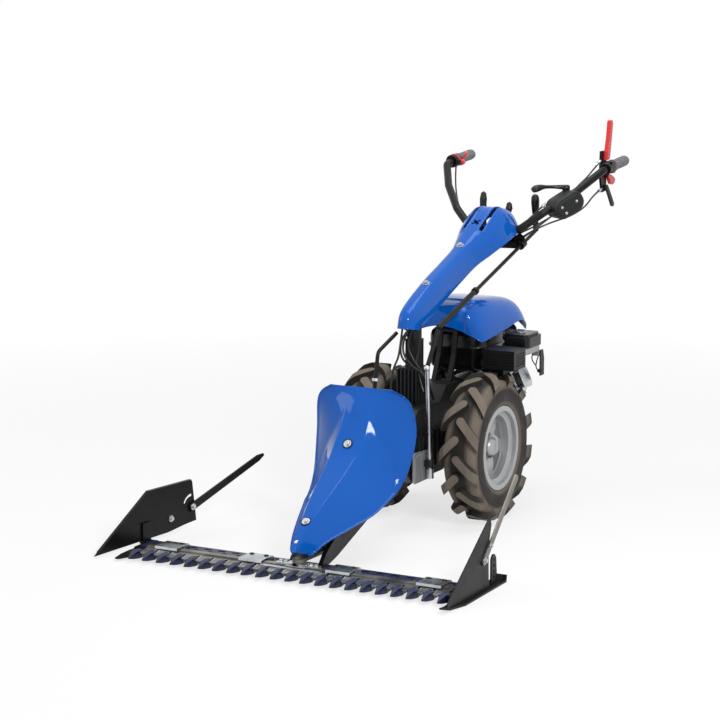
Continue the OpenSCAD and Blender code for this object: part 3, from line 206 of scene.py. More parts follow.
materials = {
    "cast_black": cast_black, "black_paint": black_paint, "black_gloss": black_gloss, "black_matte": black_matte,
    "blue_plastic": blue_plastic, "navy_steel": navy_steel, "bare_steel": bare_steel, "zinc": zinc,
    "rim_silver": rim_silver, "aluminium": aluminium, "tyre": tyre_rubber(), "grip_grey": grip_grey,
    "red_plastic": red_plastic, "cable": cable,
}
for part in frame["record"]["subparts"]:
    if part["node"] in frame["nodes"]:
        mesh = frame["nodes"][part["node"]].data
        mesh.materials.clear()
        mesh.materials.append(materials[part["material_slot"]])


# Pieces


def linked(name, data):
    """A new object in the scene that shows the data."""
    made = bpy.data.objects.new(name, data)
    bpy.context.scene.collection.objects.link(made)
    return made


def piece(name, points, faces, body, slot, stands_for=(), smooth=True):
    """A mesh in the shared frame that rides a body and may stand for CAD nodes."""
    mesh = bpy.data.meshes.new(name)
    mesh.from_pydata(points.tolist(), [], faces.tolist() if isinstance(faces, np.ndarray) else faces)
    mesh.polygons.foreach_set("use_smooth", [smooth] * len(mesh.polygons))
    mesh.materials.append(materials[slot])
    made = linked(name, mesh)
    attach(made, body)
    if stands_for:
        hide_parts(*stands_for)
    return made


def quads(rows, cols, round_rows=False, round_cols=False):
    """Faces of a grid of points stored row by row; a round direction joins its last line to its first."""
    i, j = np.meshgrid(np.arange(rows - (not round_rows)), np.arange(cols - (not round_cols)), indexing="ij")
    i2, j2 = (i + 1) % rows, (j + 1) % cols
    return np.stack([i * cols + j, i2 * cols + j, i2 * cols + j2, i * cols + j2], -1).reshape(-1, 4)


def joined(parts):
    """Several (points, faces) pairs as one."""
    starts = np.cumsum([0] + [len(points) for points, _ in parts[:-1]])
    return (np.concatenate([points for points, _ in parts]),
            [[corner + int(start) for corner in face] for (_, faces), start in zip(parts, starts) for face in faces])


def pieces(name, parts, body, slot, stands_for=(), smooth=False):
    """Several (points, faces) pairs in layout millimetres as one piece."""
    points, faces = joined(parts)
    return piece(name, place(points), faces, body, slot, stands_for, smooth)


def spin(angle):
    """Turns (x, y) rows by an angle when they are multiplied by it."""
    return np.array([[math.cos(angle), math.sin(angle)], [-math.sin(angle), math.cos(angle)]])


def spline(rows, t):
    """Smooth curve through the rows, where t counts along them: a cubic between each two, whose slope at a row is half
    the step between that row's neighbours."""
    rows = np.asarray(rows, float)
    last = len(rows) - 1
    i = np.clip(np.floor(t).astype(int), 0, last - 1)
    f = (t - i)[:, None]
    a, b, c, d = (rows[np.clip(i + k, 0, last)] for k in (-1, 0, 1, 2))
    return (b + f * (c - a) / 2 + f ** 2 * (2 * a - 5 * b + 4 * c - d) / 2 + f ** 3 * (3 * b - a - 3 * c + d) / 2)


KEEL_BAND = 0.26  # half width of the keel's flat band, as a share of the half section
KEEL_BLEND = 90  # how tight the round between keel and sheet is


def cover_points(stations, rows, cols):
    """Points of a moulded cover. Each station gives the spine (y, z), the rim (x, y, z) and how square the section
    is. Across the section s runs from -1 to 1, closer together towards the rims, and the fall from spine to rim
    goes with |s| to the power of the crown. Two more numbers make a keel: a flat band along the middle, which starts
    that share of the fall down, then straight flanks. The sheet starts its own share down, and the higher of the
    two shows, blended over a small round."""
    along = spline(stations, np.linspace(0, len(stations) - 1, rows))[:, None, :]
    s = np.sin(np.linspace(-math.pi / 2, math.pi / 2, cols))[None, :]
    spine_y, spine_z, rim_x, rim_y, rim_z, crown = (along[..., i] for i in range(6))
    fall = np.abs(s) ** crown
    if along.shape[-1] > 6:
        low = np.clip(along[..., 7], 0, 1)
        sheet = low + (1 - low) * fall
        flank = np.maximum(np.abs(s) - KEEL_BAND, 0) * (1.3 - 0.3 * low) / (1 - KEEL_BAND)
        keel = np.maximum(along[..., 6], 0) + flank
        fall = np.minimum(-np.logaddexp(-KEEL_BLEND * sheet, -KEEL_BLEND * keel) / KEEL_BLEND, 1)
    return np.stack([rim_x * s, spine_y + (rim_y - spine_y) * fall, spine_z + (rim_z - spine_z) * fall], -1)


def normals_of(points):
    """Unit normals of a grid of points, from its two directions, on the side that its middle column bulges to."""
    across = np.cross(np.gradient(points, axis=0), np.gradient(points, axis=1))
    across /= np.maximum(np.linalg.norm(across, axis=-1, keepdims=True), 1e-9)
    middle = points.shape[1] // 2
    bulge = points[:, middle] - (points[:, 0] + points[:, -1]) / 2
    return across * np.sign(np.sum(across[:, middle] * bulge))


COVER_WALL = 3  # thickness of the moulded covers


def shell(name, outer, body, slot, stands_for):
    """A closed shell: the outer grid, an inner one a wall's thickness behind it, and the four rims. The columns are
    taken in the order that makes the outer faces look outwards."""
    rows, cols = outer.shape[:2]
    out = normals_of(outer)
    if np.sum(np.cross(np.gradient(outer, axis=0), np.gradient(outer, axis=1)) * out) < 0:
        outer, out = outer[:, ::-1], out[:, ::-1]
    inner = outer - COVER_WALL * out
    faces = quads(rows, cols)
    ring = np.concatenate([np.arange(cols), np.arange(1, rows) * cols + cols - 1,
                           (rows - 1) * cols + np.arange(cols - 2, -1, -1), np.arange(rows - 2, 0, -1) * cols])
    count = rows * cols
    rim = np.stack([ring, np.roll(ring, -1), np.roll(ring, -1) + count, ring + count], -1)
    points = np.concatenate([outer.reshape(-1, 3), inner.reshape(-1, 3)])
    return piece(name, place(points), np.concatenate([faces, faces[:, ::-1] + count, rim]), body, slot, stands_for)


SWEEP_ROWS = 160  # points along a swept curve
# What a tube's section is squared to: a direction that shallow tubes do not run in, and one that steep tubes do not
SHALLOW_HINT, STEEP_HINT = (0.35, 0.1, 0.93), (0.9, 0.2, 0.1)


def swept(path, radius, sides=14, rows=SWEEP_ROWS, flat=1.0):
    """A tube along a smooth curve through the path points. A list of radii is spread along it, and `flat` scales the
    section's second direction."""
    line = spline(path, np.linspace(0, len(path) - 1, rows))
    if np.size(radius) > 1:
        radius = spline(np.reshape(radius, (-1, 1)), np.linspace(0, np.size(radius) - 1, rows))[:, None]
    tangent = np.gradient(line, axis=0)
    tangent /= np.linalg.norm(tangent, axis=1, keepdims=True)
    side = np.cross(tangent, SHALLOW_HINT if abs(tangent[:, 2]).mean() < 0.8 else STEEP_HINT)
    side /= np.linalg.norm(side, axis=1, keepdims=True)
    up = np.cross(side, tangent)
    turn = np.linspace(0, 2 * math.pi, sides, endpoint=False)[None, :, None]
    skin = line[:, None] + radius * (np.cos(turn) * side[:, None] + flat * np.sin(turn) * up[:, None])
    ends = [list(range(sides)), list(range((rows - 1) * sides, rows * sides))[::-1]]
    return skin.reshape(-1, 3), quads(rows, sides, round_cols=True).tolist() + ends


def turned(profile, at, along, sides=32, ring=False):
    """A turned piece: (radius, height) pairs spun about an axis that starts at `at` and points `along`. Six sides
    make a hexagon, and a ring's outline closes on itself."""
    profile = np.asarray(profile, float)
    axis = np.asarray(along, float) / np.linalg.norm(along)
    side = np.cross(axis, (1, 0, 0) if abs(axis[0]) < 0.8 else (0, 1, 0))
    side /= np.linalg.norm(side)
    turn = np.linspace(0, 2 * math.pi, sides, endpoint=False)[None, :, None]
    out = np.cos(turn) * side + np.sin(turn) * np.cross(axis, side)
    skin = np.asarray(at, float) + profile[:, None, :1] * out + profile[:, None, 1:] * axis
    rows = len(profile)
    ends = [] if ring else [list(range(sides))[::-1], list(range((rows - 1) * sides, rows * sides))]
    return skin.reshape(-1, 3), quads(rows, sides, ring, True)[:, ::-1].tolist() + ends


def plate(outline, x, thick):
    """A flat plate that stands across X, from a (y, z) outline."""
    flat = np.asarray(outline, float)
    count = len(flat)
    near = np.column_stack([np.full(count, x), flat])
    faces = [list(range(count))[::-1], list(range(count, 2 * count))]
    faces += [[i, (i + 1) % count, (i + 1) % count + count, i + count] for i in range(count)]
    return np.concatenate([near, near + [thick, 0, 0]]), faces


def block(low, high):
    """A box from its low to its high corner."""
    (x, y, z), (x2, y2, z2) = low, high
    return plate([(y, z), (y2, z), (y2, z2), (y, z2)], x, x2 - x)


def pot(low, high, corner, profile, steps=12):
    """A body with a rounded rectangle for its plan, from its low to its high (x, y) corner. The profile gives how far
    the outline steps in and the height, from the bottom up."""
    turn = np.linspace(0, math.pi / 2, steps)
    quarter = np.stack([np.cos(turn), np.sin(turn)], -1)
    rows = []
    for inset, z in profile:
        r = max(corner - inset, 3)
        far, near = np.array(high) - inset - r, np.array(low) + inset + r
        spots = [(far[0], far[1]), (near[0], far[1]), (near[0], near[1]), (far[0], near[1])]
        arcs = [quarter @ spin(number * math.pi / 2) * r + spot for number, spot in enumerate(spots)]
        ring = np.concatenate(arcs)
        rows.append(np.column_stack([ring, np.full(len(ring), z)]))
    count = len(rows[0])
    ends = [list(range(count))[::-1], list(range((len(rows) - 1) * count, len(rows) * count))]
    return np.concatenate(rows), quads(len(rows), count, round_cols=True)[:, ::-1].tolist() + ends


def cut(made, cutters):
    """Cuts real openings in a piece with closed (points, faces) pairs."""
    mesh = bpy.data.meshes.new("cutters")
    points, faces = joined(cutters)
    mesh.from_pydata(place(points).tolist(), [], faces)
    tool = linked("cutters", mesh)
    change = made.modifiers.new("openings", "BOOLEAN")
    change.operation, change.solver, change.object = "DIFFERENCE", "EXACT", tool
    ready = made.evaluated_get(bpy.context.evaluated_depsgraph_get())
    made.data, old = bpy.data.meshes.new_from_object(ready), made.data
    made.modifiers.clear()
    bpy.data.objects.remove(tool)
    bpy.data.meshes.remove(old)


CUT_DEPTH = 140  # height of the upright cutters


def upright(plan, z):
    """An upright cutter with one plan, from the height z upwards."""
    count = len(plan)
    low = np.column_stack([plan, np.full(count, z)])
    faces = [list(range(count)), list(range(2 * count - 1, count - 1, -1))]
    faces += [[i, i + count, (i + 1) % count + count, (i + 1) % count] for i in range(count)]
    return np.concatenate([low, low + [0, 0, CUT_DEPTH]]), faces


def slot_bar(x, y, z, length, width):
    """An upright cutter with round ends, `length` long over its ends and laid along Y."""
    turn = np.linspace(-math.pi / 2, math.pi / 2, 9)
    cap = np.stack([np.sin(turn), np.cos(turn)], -1) * width / 2 + [0, length / 2 - width / 2]
    return upright(np.concatenate([cap, -cap]) + [x, y], z)


def cross_bar(x, y, z, reach, half):
    """An upright cutter with the plan of a leaning cross: four arms of one reach and half width."""
    arm = np.array([(half, half), (reach, half), (reach, -half)])
    plan = np.concatenate([arm @ spin(angle) for angle in np.pi / 4 - np.arange(4) * np.pi / 2])
    return upright(plan + [x, y], z)


# Blue covers. A row gives the spine's y and z, the rim's x, y and z, and the crown; the front cover's rows end with
# where its keel and its sheet start
COVER = [[-517, 518, 112, -517, 516, 1.6, 0.3, 0], [-542, 468, 164, -497, 472, 1.7, 0.12, 0],
         [-610, 351, 176, -484, 360, 1.8, 0, 0.18], [-680, 291, 158, -542, 226, 1.7, 0, 0.62],
         [-765, 238, 128, -657, 155, 1.5, 0, 1], [-831, 196, 94, -759, 124, 1.4, 0, 1],
         [-893, 152, 60, -850, 98, 1.4, 0, 1], [-946, 110, 38, -900, 72, 1.6, 0, 1],
         [-968, 86, 24, -908, 64, 1.8, 0, 1]]
HOOD = [[52, 634, 142, 80, 585, 1.7], [60, 690, 149, 104, 587, 4], [104, 711, 154, 172, 596, 5],
        [200, 716, 157, 252, 606, 5.5], [330, 706, 157, 344, 619, 5.5], [418, 690, 155, 402, 617, 5],
        [466, 660, 150, 440, 598, 4], [484, 616, 143, 454, 578, 3]]
COLUMN = [[-232, 664, 38, -188, 656, 3], [-202, 722, 45, -112, 688, 3.4], [-55, 793, 46, 8, 735, 3.6],
          [90, 846, 46, 130, 780, 3.6], [195, 885, 52, 232, 820, 3.2], [262, 919, 72, 315, 852, 3.0],
          [338, 959, 96, 395, 888, 3.0], [428, 1000, 96, 462, 905, 3.8], [508, 991, 86, 522, 907, 4.2],
          [546, 958, 74, 548, 910, 4.2]]

# The front cover's long edges turn out into a narrow flange, which starts at a share of the half section
FRONT_COLS = 121
FLANGE_PROUD, FLANGE_START, FLANGE_SHARE = 4, 0.93, 0.07
skin = cover_points(COVER, 150, FRONT_COLS)
across = np.abs(np.sin(np.linspace(-math.pi / 2, math.pi / 2, FRONT_COLS)))
rise = np.clip((across - FLANGE_START) / FLANGE_SHARE, 0, 1) ** 2
skin += FLANGE_PROUD * rise[None, :, None] * normals_of(skin)
front = shell("front_cover_skin", skin, "chassis", "blue_plastic", ["front_cover"])
cut(front, [turned([(7, -20), (7, 20)], (0, -944, 114), (0, -0.66, 0.75))])

# The hood's top carries a shallow oblong panel, sunk between sloped edges
PANEL_SUNK, PANEL_EDGE = 5, 7
PANEL_Y, PANEL_HALF_X, PANEL_HALF_Y = 90, 88, 58
skin = cover_points(HOOD, 200, 141)
off = np.maximum(np.abs(skin[..., 0]) - PANEL_HALF_X, np.abs(skin[..., 1] - PANEL_Y) - PANEL_HALF_Y)
skin -= PANEL_SUNK * np.clip(0.5 - off / PANEL_EDGE, 0, 1)[..., None] * normals_of(skin)
shell("hood_skin", skin, "chassis", "blue_plastic", ["hood"])

# The column head has a cross-shaped hole and two long slots with a raised lip round each
SLOT_X, SLOT_Y, SLOT_LENGTH, SLOT_WIDTH = 33, 377, 152, 13
LIP_HALF_Y, LIP_REACH, LIP_WIDTH, LIP_PROUD = 71, 10, 4, 2.5
CUT_FROM = 900  # below the head's skin
skin = cover_points(COLUMN, 260, 141)
beyond = np.maximum(np.abs(skin[..., 1] - SLOT_Y) - LIP_HALF_Y, 0)
lip = np.hypot(np.abs(skin[..., 0]) - SLOT_X, beyond)
skin += LIP_PROUD * np.exp(-((lip - LIP_REACH) / LIP_WIDTH) ** 2)[..., None] * normals_of(skin)
head = shell("column_skin", skin, "handle", "blue_plastic", ["column_cover"])
slots = [slot_bar(side * SLOT_X, SLOT_Y, CUT_FROM, SLOT_LENGTH, SLOT_WIDTH) for side in (-1, 1)]
bar_holes = [swept([(side * 30, 492.2, 906.8), (side * 63, 493.1, 914.4), (side * 96, 494, 922)], 14.6, rows=6)
             for side in (-1, 1)]
cut(head, slots + [cross_bar(0, 338, CUT_FROM, 17, 5)] + bar_holes)


def bolt(at, along, size, washer):
    """A hexagon bolt on a round washer, seated on the point `at`."""
    disc = turned([(0.5, 0), (washer, 0), (washer, 1.6), (washer - 0.6, 2.0), (0.5, 2.0)], at, along)
    foot = np.asarray(at, float) + 2.0 * np.asarray(along, float) / np.linalg.norm(along)
    return [disc, turned([(0.3, 0), (size, 0), (size, size * 0.62), (size * 0.86, size * 0.74), (0.3, size * 0.74)],
                         foot, along, sides=6)]


def bolts(name, spots, size, washer, body):
    """A piece of several bolts of one size. Each spot is a point and the way out."""
    return pieces(name, [part for at, along in spots for part in bolt(at, along, size, washer)], body, "zinc")


# Bolts of the covers. The front cover's two sit on flat dark discs, painted shade for the recesses they sit in
bolts("cover_bolts", [((0, -611, 352), (0, -0.79, 0.61)), ((0, -882, 161), (0, -0.58, 0.82))], 9, 13, "chassis")
bolts("column_screws", [((0, -56, 792.5), (0, -0.38, 0.92)), ((0, 208, 891), (0, -0.46, 0.89))], 9, 13, "handle")
# Painted shade: a flat dark disc under each front cover bolt, where its recess lies in shade
PAINTED_RECESS_SHADE = (((0, -610.6, 351.7), (0, -0.79, 0.61)), ((0, -881.7, 160.7), (0, -0.58, 0.82)))
pieces("cover_painted_recess_shade", [turned([(1, 0), (17, 0), (17, 0.8), (1, 0.8)], at, along) for at, along in PAINTED_RECESS_SHADE], "chassis",
       "black_paint")

# Wheels: a pressed ring with rolled lips, and a disc with five half-moon openings between its spokes. The outlines
# give the radius and the height along the axle
RING = [(124, 56), (124, 41), (108, 34), (108, -34), (124, -41), (124, -56), (142, -56), (142, -52), (128, -52),
        (128, -39), (112, -32), (112, 32), (128, 39), (128, 52), (142, 52), (142, 56)]
DISC = [(28, -8), (58, -8), (66, -5), (80, 2), (108.5, 2), (108.5, 9), (77, 9), (63, 2), (56, -1), (28, -1)]
CAP = [(0.5, 0), (30, 0), (30, 19), (26, 25), (12, 28), (0.5, 28)]
WHEEL_SIDES = 72
MOONS, MOON_FIRST, MOON_HALF = 5, 0.52, 0.47  # how many, where the first lies and half its width, in radians
MOON_TOP, MOON_FOOT, MOON_SAG = 104, 66, 36  # its outer radius, its inner radius, and how far that one curves out
turn = np.linspace(-MOON_HALF, MOON_HALF, 13)
fan = np.stack([np.cos(turn), np.sin(turn)], -1)
moon = np.concatenate([MOON_TOP * fan, (fan * (MOON_FOOT + MOON_SAG * (turn / MOON_HALF) ** 2)[:, None])[::-1]])
for side, body in ((1, "left_wheel"), (-1, "right_wheel")):
    middle, out = (side * HALF_TRACK, 0, AXLE_Z), (side, 0, 0)
    pieces(body + "_ring", [turned(RING, middle, out, WHEEL_SIDES, True)], body, "rim_silver")
    disc = pieces(body + "_disc", [turned(DISC, middle, out, WHEEL_SIDES, True)], body, "rim_silver",
                  [body.split("_")[0] + "_rim"])
    cut(disc, [plate(moon @ spin(number * 2 * math.pi / MOONS + MOON_FIRST) + [0, AXLE_Z], middle[0] - 40, 80)
               for number in range(MOONS)])
    pieces(body + "_cap", [turned(CAP, middle, out)], body, "rim_silver")

# Bright ground edges of the knife sections: a strip along both slopes of each. A strip's corners are given by how far
# they lie from the section's middle, and their y
SECTIONS, KNIFE_START = 21, -541.4
EDGE = [(24.9, -943), (8, -1005), (3.5, -1005), (20.4, -943)]
EDGE_Z, EDGE_THICK = 27.6, 0.5
edges = []
for number in range(SECTIONS):
    middle = KNIFE_START + (number + 0.5) * PITCH
    for side in (-1, 1):
        strip = [(middle + side * off, y) for off, y in EDGE]
        points, faces = plate(strip[::-side], EDGE_Z, EDGE_THICK)
        edges.append((points[:, [1, 2, 0]], faces))
pieces("section_edges", edges, "knife", "zinc")
bolts("head_bolts", [((x, -929, 39), UP) for x in (-61, -43, 43, 61)], 6.5, 8, "knife")

# Bolts of the boards and sticks
SWATH_OUT = (0.987, -0.158, 0)
bolts("board_bolt", [((-605.7, -697, 59), SWATH_OUT)], 8, 11, "chassis")
bolts("swath_bolt", [((-583, -597.4, 80), SWATH_OUT)], 8, 11, "swath_stick_arm")
pieces("divider_bolts", bolt((579, -832, 98), LEFT, 7, 10) + bolt((579, -793, 134), LEFT, 6, 8),
       "divider_stick_arm", "zinc")

# Engine: tank with a welded seam, black shroud behind it, filter base and its control plate. The shroud's black is
# partly painted shade: it fills the shaded space under the hood's rear
TANK = [(40, 470), (24, 471.5), (11, 476), (3, 485), (0, 497), (0, 547), (-6, 552), (-6, 558), (0, 563), (0, 588),
        (4, 601), (14, 611), (34, 616)]
SHROUD_AND_SHADE_PROFILE = [(0, 459), (0, 570), (5, 588), (16, 600), (36, 604)]
pieces("tank_skin", [
    pot((-81, 114), (127, 324), 44, TANK), turned([(22, 612), (22, 712)], (20, 200, 0), UP),
    block((-80, 189, 418.5), (-56, 243, 480)), block((56, 189, 418.5), (80, 220, 480))],
       "chassis", "black_gloss", ["fuel_tank"], True)
# Black shroud on the blower housing; its black also stands in, as painted shade, for the shade under the hood's rear
pieces("engine_shroud_and_painted_shade", [pot((-66, 332), (126, 450), 38, SHROUD_AND_SHADE_PROFILE)], "chassis", "black_gloss", smooth=True)
# The filter's throat leans with the cylinder, about the crankshaft
CYLINDER_LEAN, CRANK = math.radians(66), [0, 266, 345]
tilt = np.array([[math.cos(CYLINDER_LEAN), 0, math.sin(CYLINDER_LEAN)], [0, 1, 0],
                 [-math.sin(CYLINDER_LEAN), 0, math.cos(CYLINDER_LEAN)]])
throat = block((-66, -10, 180), (-56, 40, 206))
pieces("filter_base_skin", [
    pot((166, 222), (250, 338), 16, [(3, 526), (0, 529), (0, 550)]), block((140, 246, 484), (190, 294, 527)),
    block((226, 318, 510), (250, 336, 527)), (throat[0] @ tilt.T + CRANK, throat[1])],
       "chassis", "aluminium", ["filter_base"])
pieces("control_plate", [
    plate([(326, 440), (358, 440), (358, 500), (348, 530), (326, 530)], 250.5, 4),
    block((244, 322, 452), (250, 352, 462)),
    swept([(252, 330, 520), (246, 318, 500), (240, 322, 470), (250, 336, 446)], 2, rows=40),
    swept([(236, 300, 524), (232, 304, 500), (238, 318, 478)], 2, rows=40)], "chassis", "black_paint")

# Left side of the gearbox: the grey cast sump with its ribs, long ones in front and short ones behind
pieces("sump_ribs", [plate([(-312, 176), (-300, 166), (-190, 166), (-184, 262), (-300, 270), (-312, 258)], 79.3, 4)]
       + [block((83, y, 172), (89, y + 5, top)) for first, last, top in ((-306, -250, 258), (-208, -188, 210))
          for y in range(first, last, 14)], "chassis", "aluminium")
pieces("drive_rod_collar", [turned([(6.6, 0), (11, 0), (11, 9), (6.6, 9)], (-60, -306.5, 497), (0, 0.203, 0.98))],
       "drive_link", "zinc")

# Handle fittings: adjusters, thumb lever, latch, paddle, gear knob and collar
SCREW = [(2, 0), (4.5, 0), (4.5, 9), (7, 9), (7, 16), (3.5, 16), (3.5, 30), (2, 30)]
pieces("cable_adjusters", [turned(SCREW, at, along, 12) for at, along in (
    ((285, 774, 1150), (-0.25, -0.8, -0.5)), ((285, 785, 1050), (-0.25, -0.8, -0.5)),
    ((170, 552, 1012), (-0.6, -0.45, -0.65)), ((212, 574, 986), (-0.7, -0.5, -0.5)))], "handle", "zinc")
GRIP_WAY, THROTTLE_AT = (0, 0.9965, 0.0843), (-307, 791.5, 1124.7)
pieces("throttle_skin", [
    turned([(19.2, 9), (24, 9), (25, 12), (25, 19), (24, 22), (19.2, 22)], THROTTLE_AT, GRIP_WAY, 40, True),
    swept([(-292, 803, 1117), (-278, 805, 1120), (-266, 808, 1126)], [8, 11, 11, 8], rows=30),
    swept([(-272, 810, 1132), (-266, 814, 1146), (-262, 816, 1160)], [6, 9, 10, 8], rows=30, flat=0.6)],
       "throttle", "red_plastic", ["throttle_lever"])
pieces("throttle_collar", [
    turned([(19.2, -10), (23, -10), (24, -7), (24, 5), (23, 8), (19.2, 8)], THROTTLE_AT, GRIP_WAY, 40, True),
    block((-292, 786, 1112), (-274, 802, 1130))], "handle", "black_matte")
LATCH = [(809, 1088), (820, 1086), (838, 1063), (856, 1059), (874, 1065), (880, 1075), (872, 1083), (846, 1094),
         (822, 1100)]
LATCH_AT = (276.5, 816, 1095)
pieces("latch_skin", [plate(LATCH, 289.5, 12), turned([(3.9, 0), (3.9, 13.5)], LATCH_AT, LEFT),
                      turned([(8, 0), (8, 4)], LATCH_AT, LEFT)], "clutch_latch", "red_plastic", ["latch"])
PADDLE_AT = np.array([215, 626, 1055])
PADDLE_RUN = [(6, 6, 9), (-20, -15, 11), (-44, -34, 12), (-66, -58, 12), (-80, -76, 8), (-90, -88, 2)]
pieces("paddle_skin", [
    turned([(6, -12), (6, 1.5)], PADDLE_AT, UP),
    turned([(13, 0.5), (14, 3), (14, 14), (11, 17), (0.5, 17)], PADDLE_AT, UP),
    swept(PADDLE_AT + PADDLE_RUN, [12, 10, 8, 8, 13, 15, 11], rows=60, flat=0.8)],
       "paddle", "black_gloss", ["paddle_lever"], True)
KNOB = [(10.2, 58), (12, 62), (13.5, 78), (15, 104), (14, 120), (9, 129), (2, 132)]
pieces("gear_knob", [turned(KNOB, (100, 629.5, 904.5), (0, -0.08, 0.997))], "gear_upper", "black_gloss", smooth=True)
COLLAR = [(14.3, 0), (21, 0), (23, 3), (23, 17), (21, 20), (14.3, 20)]
pieces("bar_collar", [turned(COLLAR, (306.4, 765, 1121.5), (0.01, 0.985, 0.17), 40, True)], "handle", "black_gloss")

# Lever housing: a rounded case round the bar, with a lid that faces out. Its own directions are along the bar, down
# and out, and a case point is given by how far it lies along each
CASE_AT, CASE_OUT = (168, 537, 980), (0.7793, -0.6266, 0)
CASE_AXES = np.array([(0.5525, 0.6873, 0.4717), (0.2956, 0.3676, -0.8817), CASE_OUT])
case = [pot((22, -23), (144, 50), 34, [(2, -26), (0, -24), (0, 40), (2, 44), (6, 46)]),
        pot((32, -13), (134, 40), 26, [(0, 45), (0, 48), (2, 49.5), (6, 50)])]
paddle_seat = turned([(0.5, -46), (13, -46), (13, 0), (6.4, 0), (6.4, -14), (0.5, -14)], PADDLE_AT, UP)
pieces("housing_skin", [(points @ CASE_AXES + CASE_AT, [face[::-1] for face in faces]) for points, faces in case]
       + [paddle_seat], "handle", "black_matte", ["lever_housing"])
bolts("housing_screws", [(np.array(spot) @ CASE_AXES + CASE_AT, CASE_OUT)
                         for spot in ((52, 4, 49), (112, 12, 49), (58, 30, 49))], 3.5, 5, "handle")
# Welded gusset that carries the gear rod's guide beside the column: an (x, z) outline that stands across Y
GUSSET = [(-8, 850), (30, 880), (92, 906), (108, 896), (110, 886), (88, 879), (83, 864), (78, 852)]
points, faces = plate(GUSSET, 508.5, 4)
pieces("guide_gusset", [(points[:, [1, 0, 2]], faces)], "handle", "black_paint")

# Cables
HANDLE_RUNS = [
    [(285, 783, 1050), (272, 738, 1024), (258, 690, 990), (225, 640, 962), (172, 566, 938), (110, 536, 904),
     (52, 518, 860)],
    [(284, 770, 1146), (272, 742, 1122), (258, 712, 1094), (236, 672, 1060), (205, 640, 1000), (150, 576, 940),
     (95, 532, 890), (50, 516, 862)],
    [(168, 550, 1010), (150, 536, 990), (120, 528, 960), (88, 524, 930), (60, 516, 905)],
    [(209, 572, 983), (180, 556, 960), (130, 532, 928), (88, 526, 906), (56, 514, 880)],
    [(-292, 790, 1109), (-284, 770, 1066), (-270, 746, 1020), (-238, 700, 976), (-180, 616, 946), (-120, 544, 915),
     (-60, 506, 872)]]
POST_RUNS = [
    [(6, -178, 672), (-18, -184, 612), (-14, -186, 568), (16, -184, 534), (47, -180, 512), (58, -150, 470),
     (62, -120, 415)],
    [(9, -172, 672), (-28, -176, 618), (-26, -180, 560), (18, -178, 522), (52, -176, 500), (64, -150, 450)],
    [(15, -170, 672), (-4, -176, 604), (12, -178, 560), (44, -178, 519), (60, -170, 480), (64, -140, 430)],
    [(38, -172, 676), (40, -176, 624), (33, -174, 584), (26, -176, 550), (38, -180, 500), (58, -188, 452)],
    [(-30, -166, 668), (-36, -170, 610), (-40, -180, 560), (-54, -192, 510), (-58, -200, 430)]]
for name, runs, radius, body, node in (("handle_cable", HANDLE_RUNS, 3, "handle", "handle_cables"),
                                       ("post_cable", POST_RUNS, 3.5, "chassis", "lower_cables")):
    for number, run in enumerate(runs):
        sleeve = pieces(f"{name}_{number + 1}", [swept(run, radius)], body, "cable", [node], True)


# Studio, in metres
FLOOR_HALF = 30
AIM = (0.05, -0.1, 0.45)  # what the lamps point at
LAMPS = (("key_lamp", (3.6, -3.0, 3.2), 1.1, 150), ("fill_lamp", (-3.6, -2.6, 2.8), 2.0, 40),
         ("top_lamp", (0.2, 0.2, 4.2), 2.6, 80))  # name, place, width and power


def seen_straight(tree):
    """The outputs of the light path, and a value that is 1 where a thing is seen itself or in a gloss."""
    path = add(tree, "LightPath").outputs
    direct = add(tree, "Math", {0: path["Is Camera Ray"], 1: path["Is Glossy Ray"]}, operation="ADD")
    return path, direct.outputs["Value"]


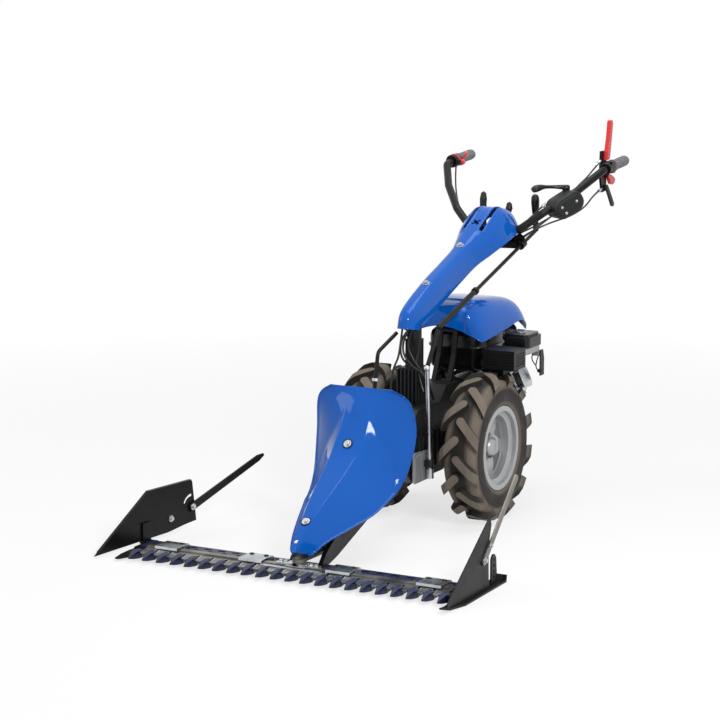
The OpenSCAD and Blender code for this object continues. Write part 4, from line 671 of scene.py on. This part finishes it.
def lay_floor():
    """A pale floor that keeps a soft shadow and fades to white with distance."""
    floor = bpy.data.meshes.new("floor")
    floor.from_pydata([(x * FLOOR_HALF, y * FLOOR_HALF, 0) for x, y in ((-1, -1), (1, -1), (1, 1), (-1, 1))], [],
                      [(0, 1, 2, 3)])
    linked("floor", floor)
    paper = bpy.data.materials.new("white studio paper")
    paper.use_nodes = True
    tree = paper.node_tree
    shader = tree.nodes["Principled BSDF"]
    shader.inputs["Base Color"].default_value = (0.85, 0.85, 0.85, 1)
    shader.inputs["Roughness"].default_value = 0.9
    _, direct = seen_straight(tree)
    away = add(tree, "VectorMath", {0: add(tree, "TexCoord").outputs["Object"]}, operation="LENGTH")
    fade = add(tree, "MapRange", {"Value": away.outputs["Value"], "From Min": 1.2, "From Max": 4.0, "To Min": 0.7})
    share = add(tree, "Math", {0: direct, 1: fade.outputs["Result"]}, operation="MULTIPLY", use_clamp=True)
    glow = add(tree, "Emission", {"Color": WHITE, "Strength": 1.0})
    mix = add(tree, "MixShader", {"Fac": share.outputs["Value"], 1: shader.outputs["BSDF"],
                                  2: glow.outputs["Emission"]})
    tree.links.new(mix.outputs["Shader"], tree.nodes["Material Output"].inputs["Surface"])
    floor.materials.append(paper)


def surround():
    """A white world, dimmer as a light than it is to look at."""
    world = bpy.data.worlds.new("white surround")
    bpy.context.scene.world = world
    world.use_nodes = True
    tree = world.node_tree
    path, direct = seen_straight(tree)
    through = add(tree, "Math", {0: direct, 1: path["Is Transmission Ray"]}, operation="ADD", use_clamp=True)
    level = add(tree, "MapRange", {"Value": through.outputs["Value"], "To Min": 0.38, "To Max": 1.0})
    tree.nodes["Background"].inputs["Color"].default_value = WHITE
    tree.links.new(level.outputs["Result"], tree.nodes["Background"].inputs["Strength"])


def light_up():
    """One broad lamp from the upper right, a weak one from the upper left and one overhead."""
    for name, spot, width, power in LAMPS:
        lamp = bpy.data.lights.new(name, "AREA")
        lamp.shape, lamp.size, lamp.energy = "SQUARE", width, power
        holder = linked(name, lamp)
        holder.location = spot
        back = np.array(spot) - AIM
        holder.rotation_euler = (math.acos(back[2] / np.linalg.norm(back)), 0, math.atan2(back[0], -back[1]))


def look():
    """The camera at the photo's angle."""
    lens = bpy.data.cameras.new("photo_camera")
    lens.lens, lens.sensor_width, lens.clip_end = 110.72, 36, 100
    camera = linked("photo_camera", lens)
    camera.location = (3.2484, -6.5467, 1.8094)
    camera.rotation_euler = (math.radians(80.09), 0, math.radians(27.76))
    bpy.context.scene.camera = camera
    bpy.context.scene.view_settings.view_transform = "Standard"


lay_floor()
surround()
light_up()
look()
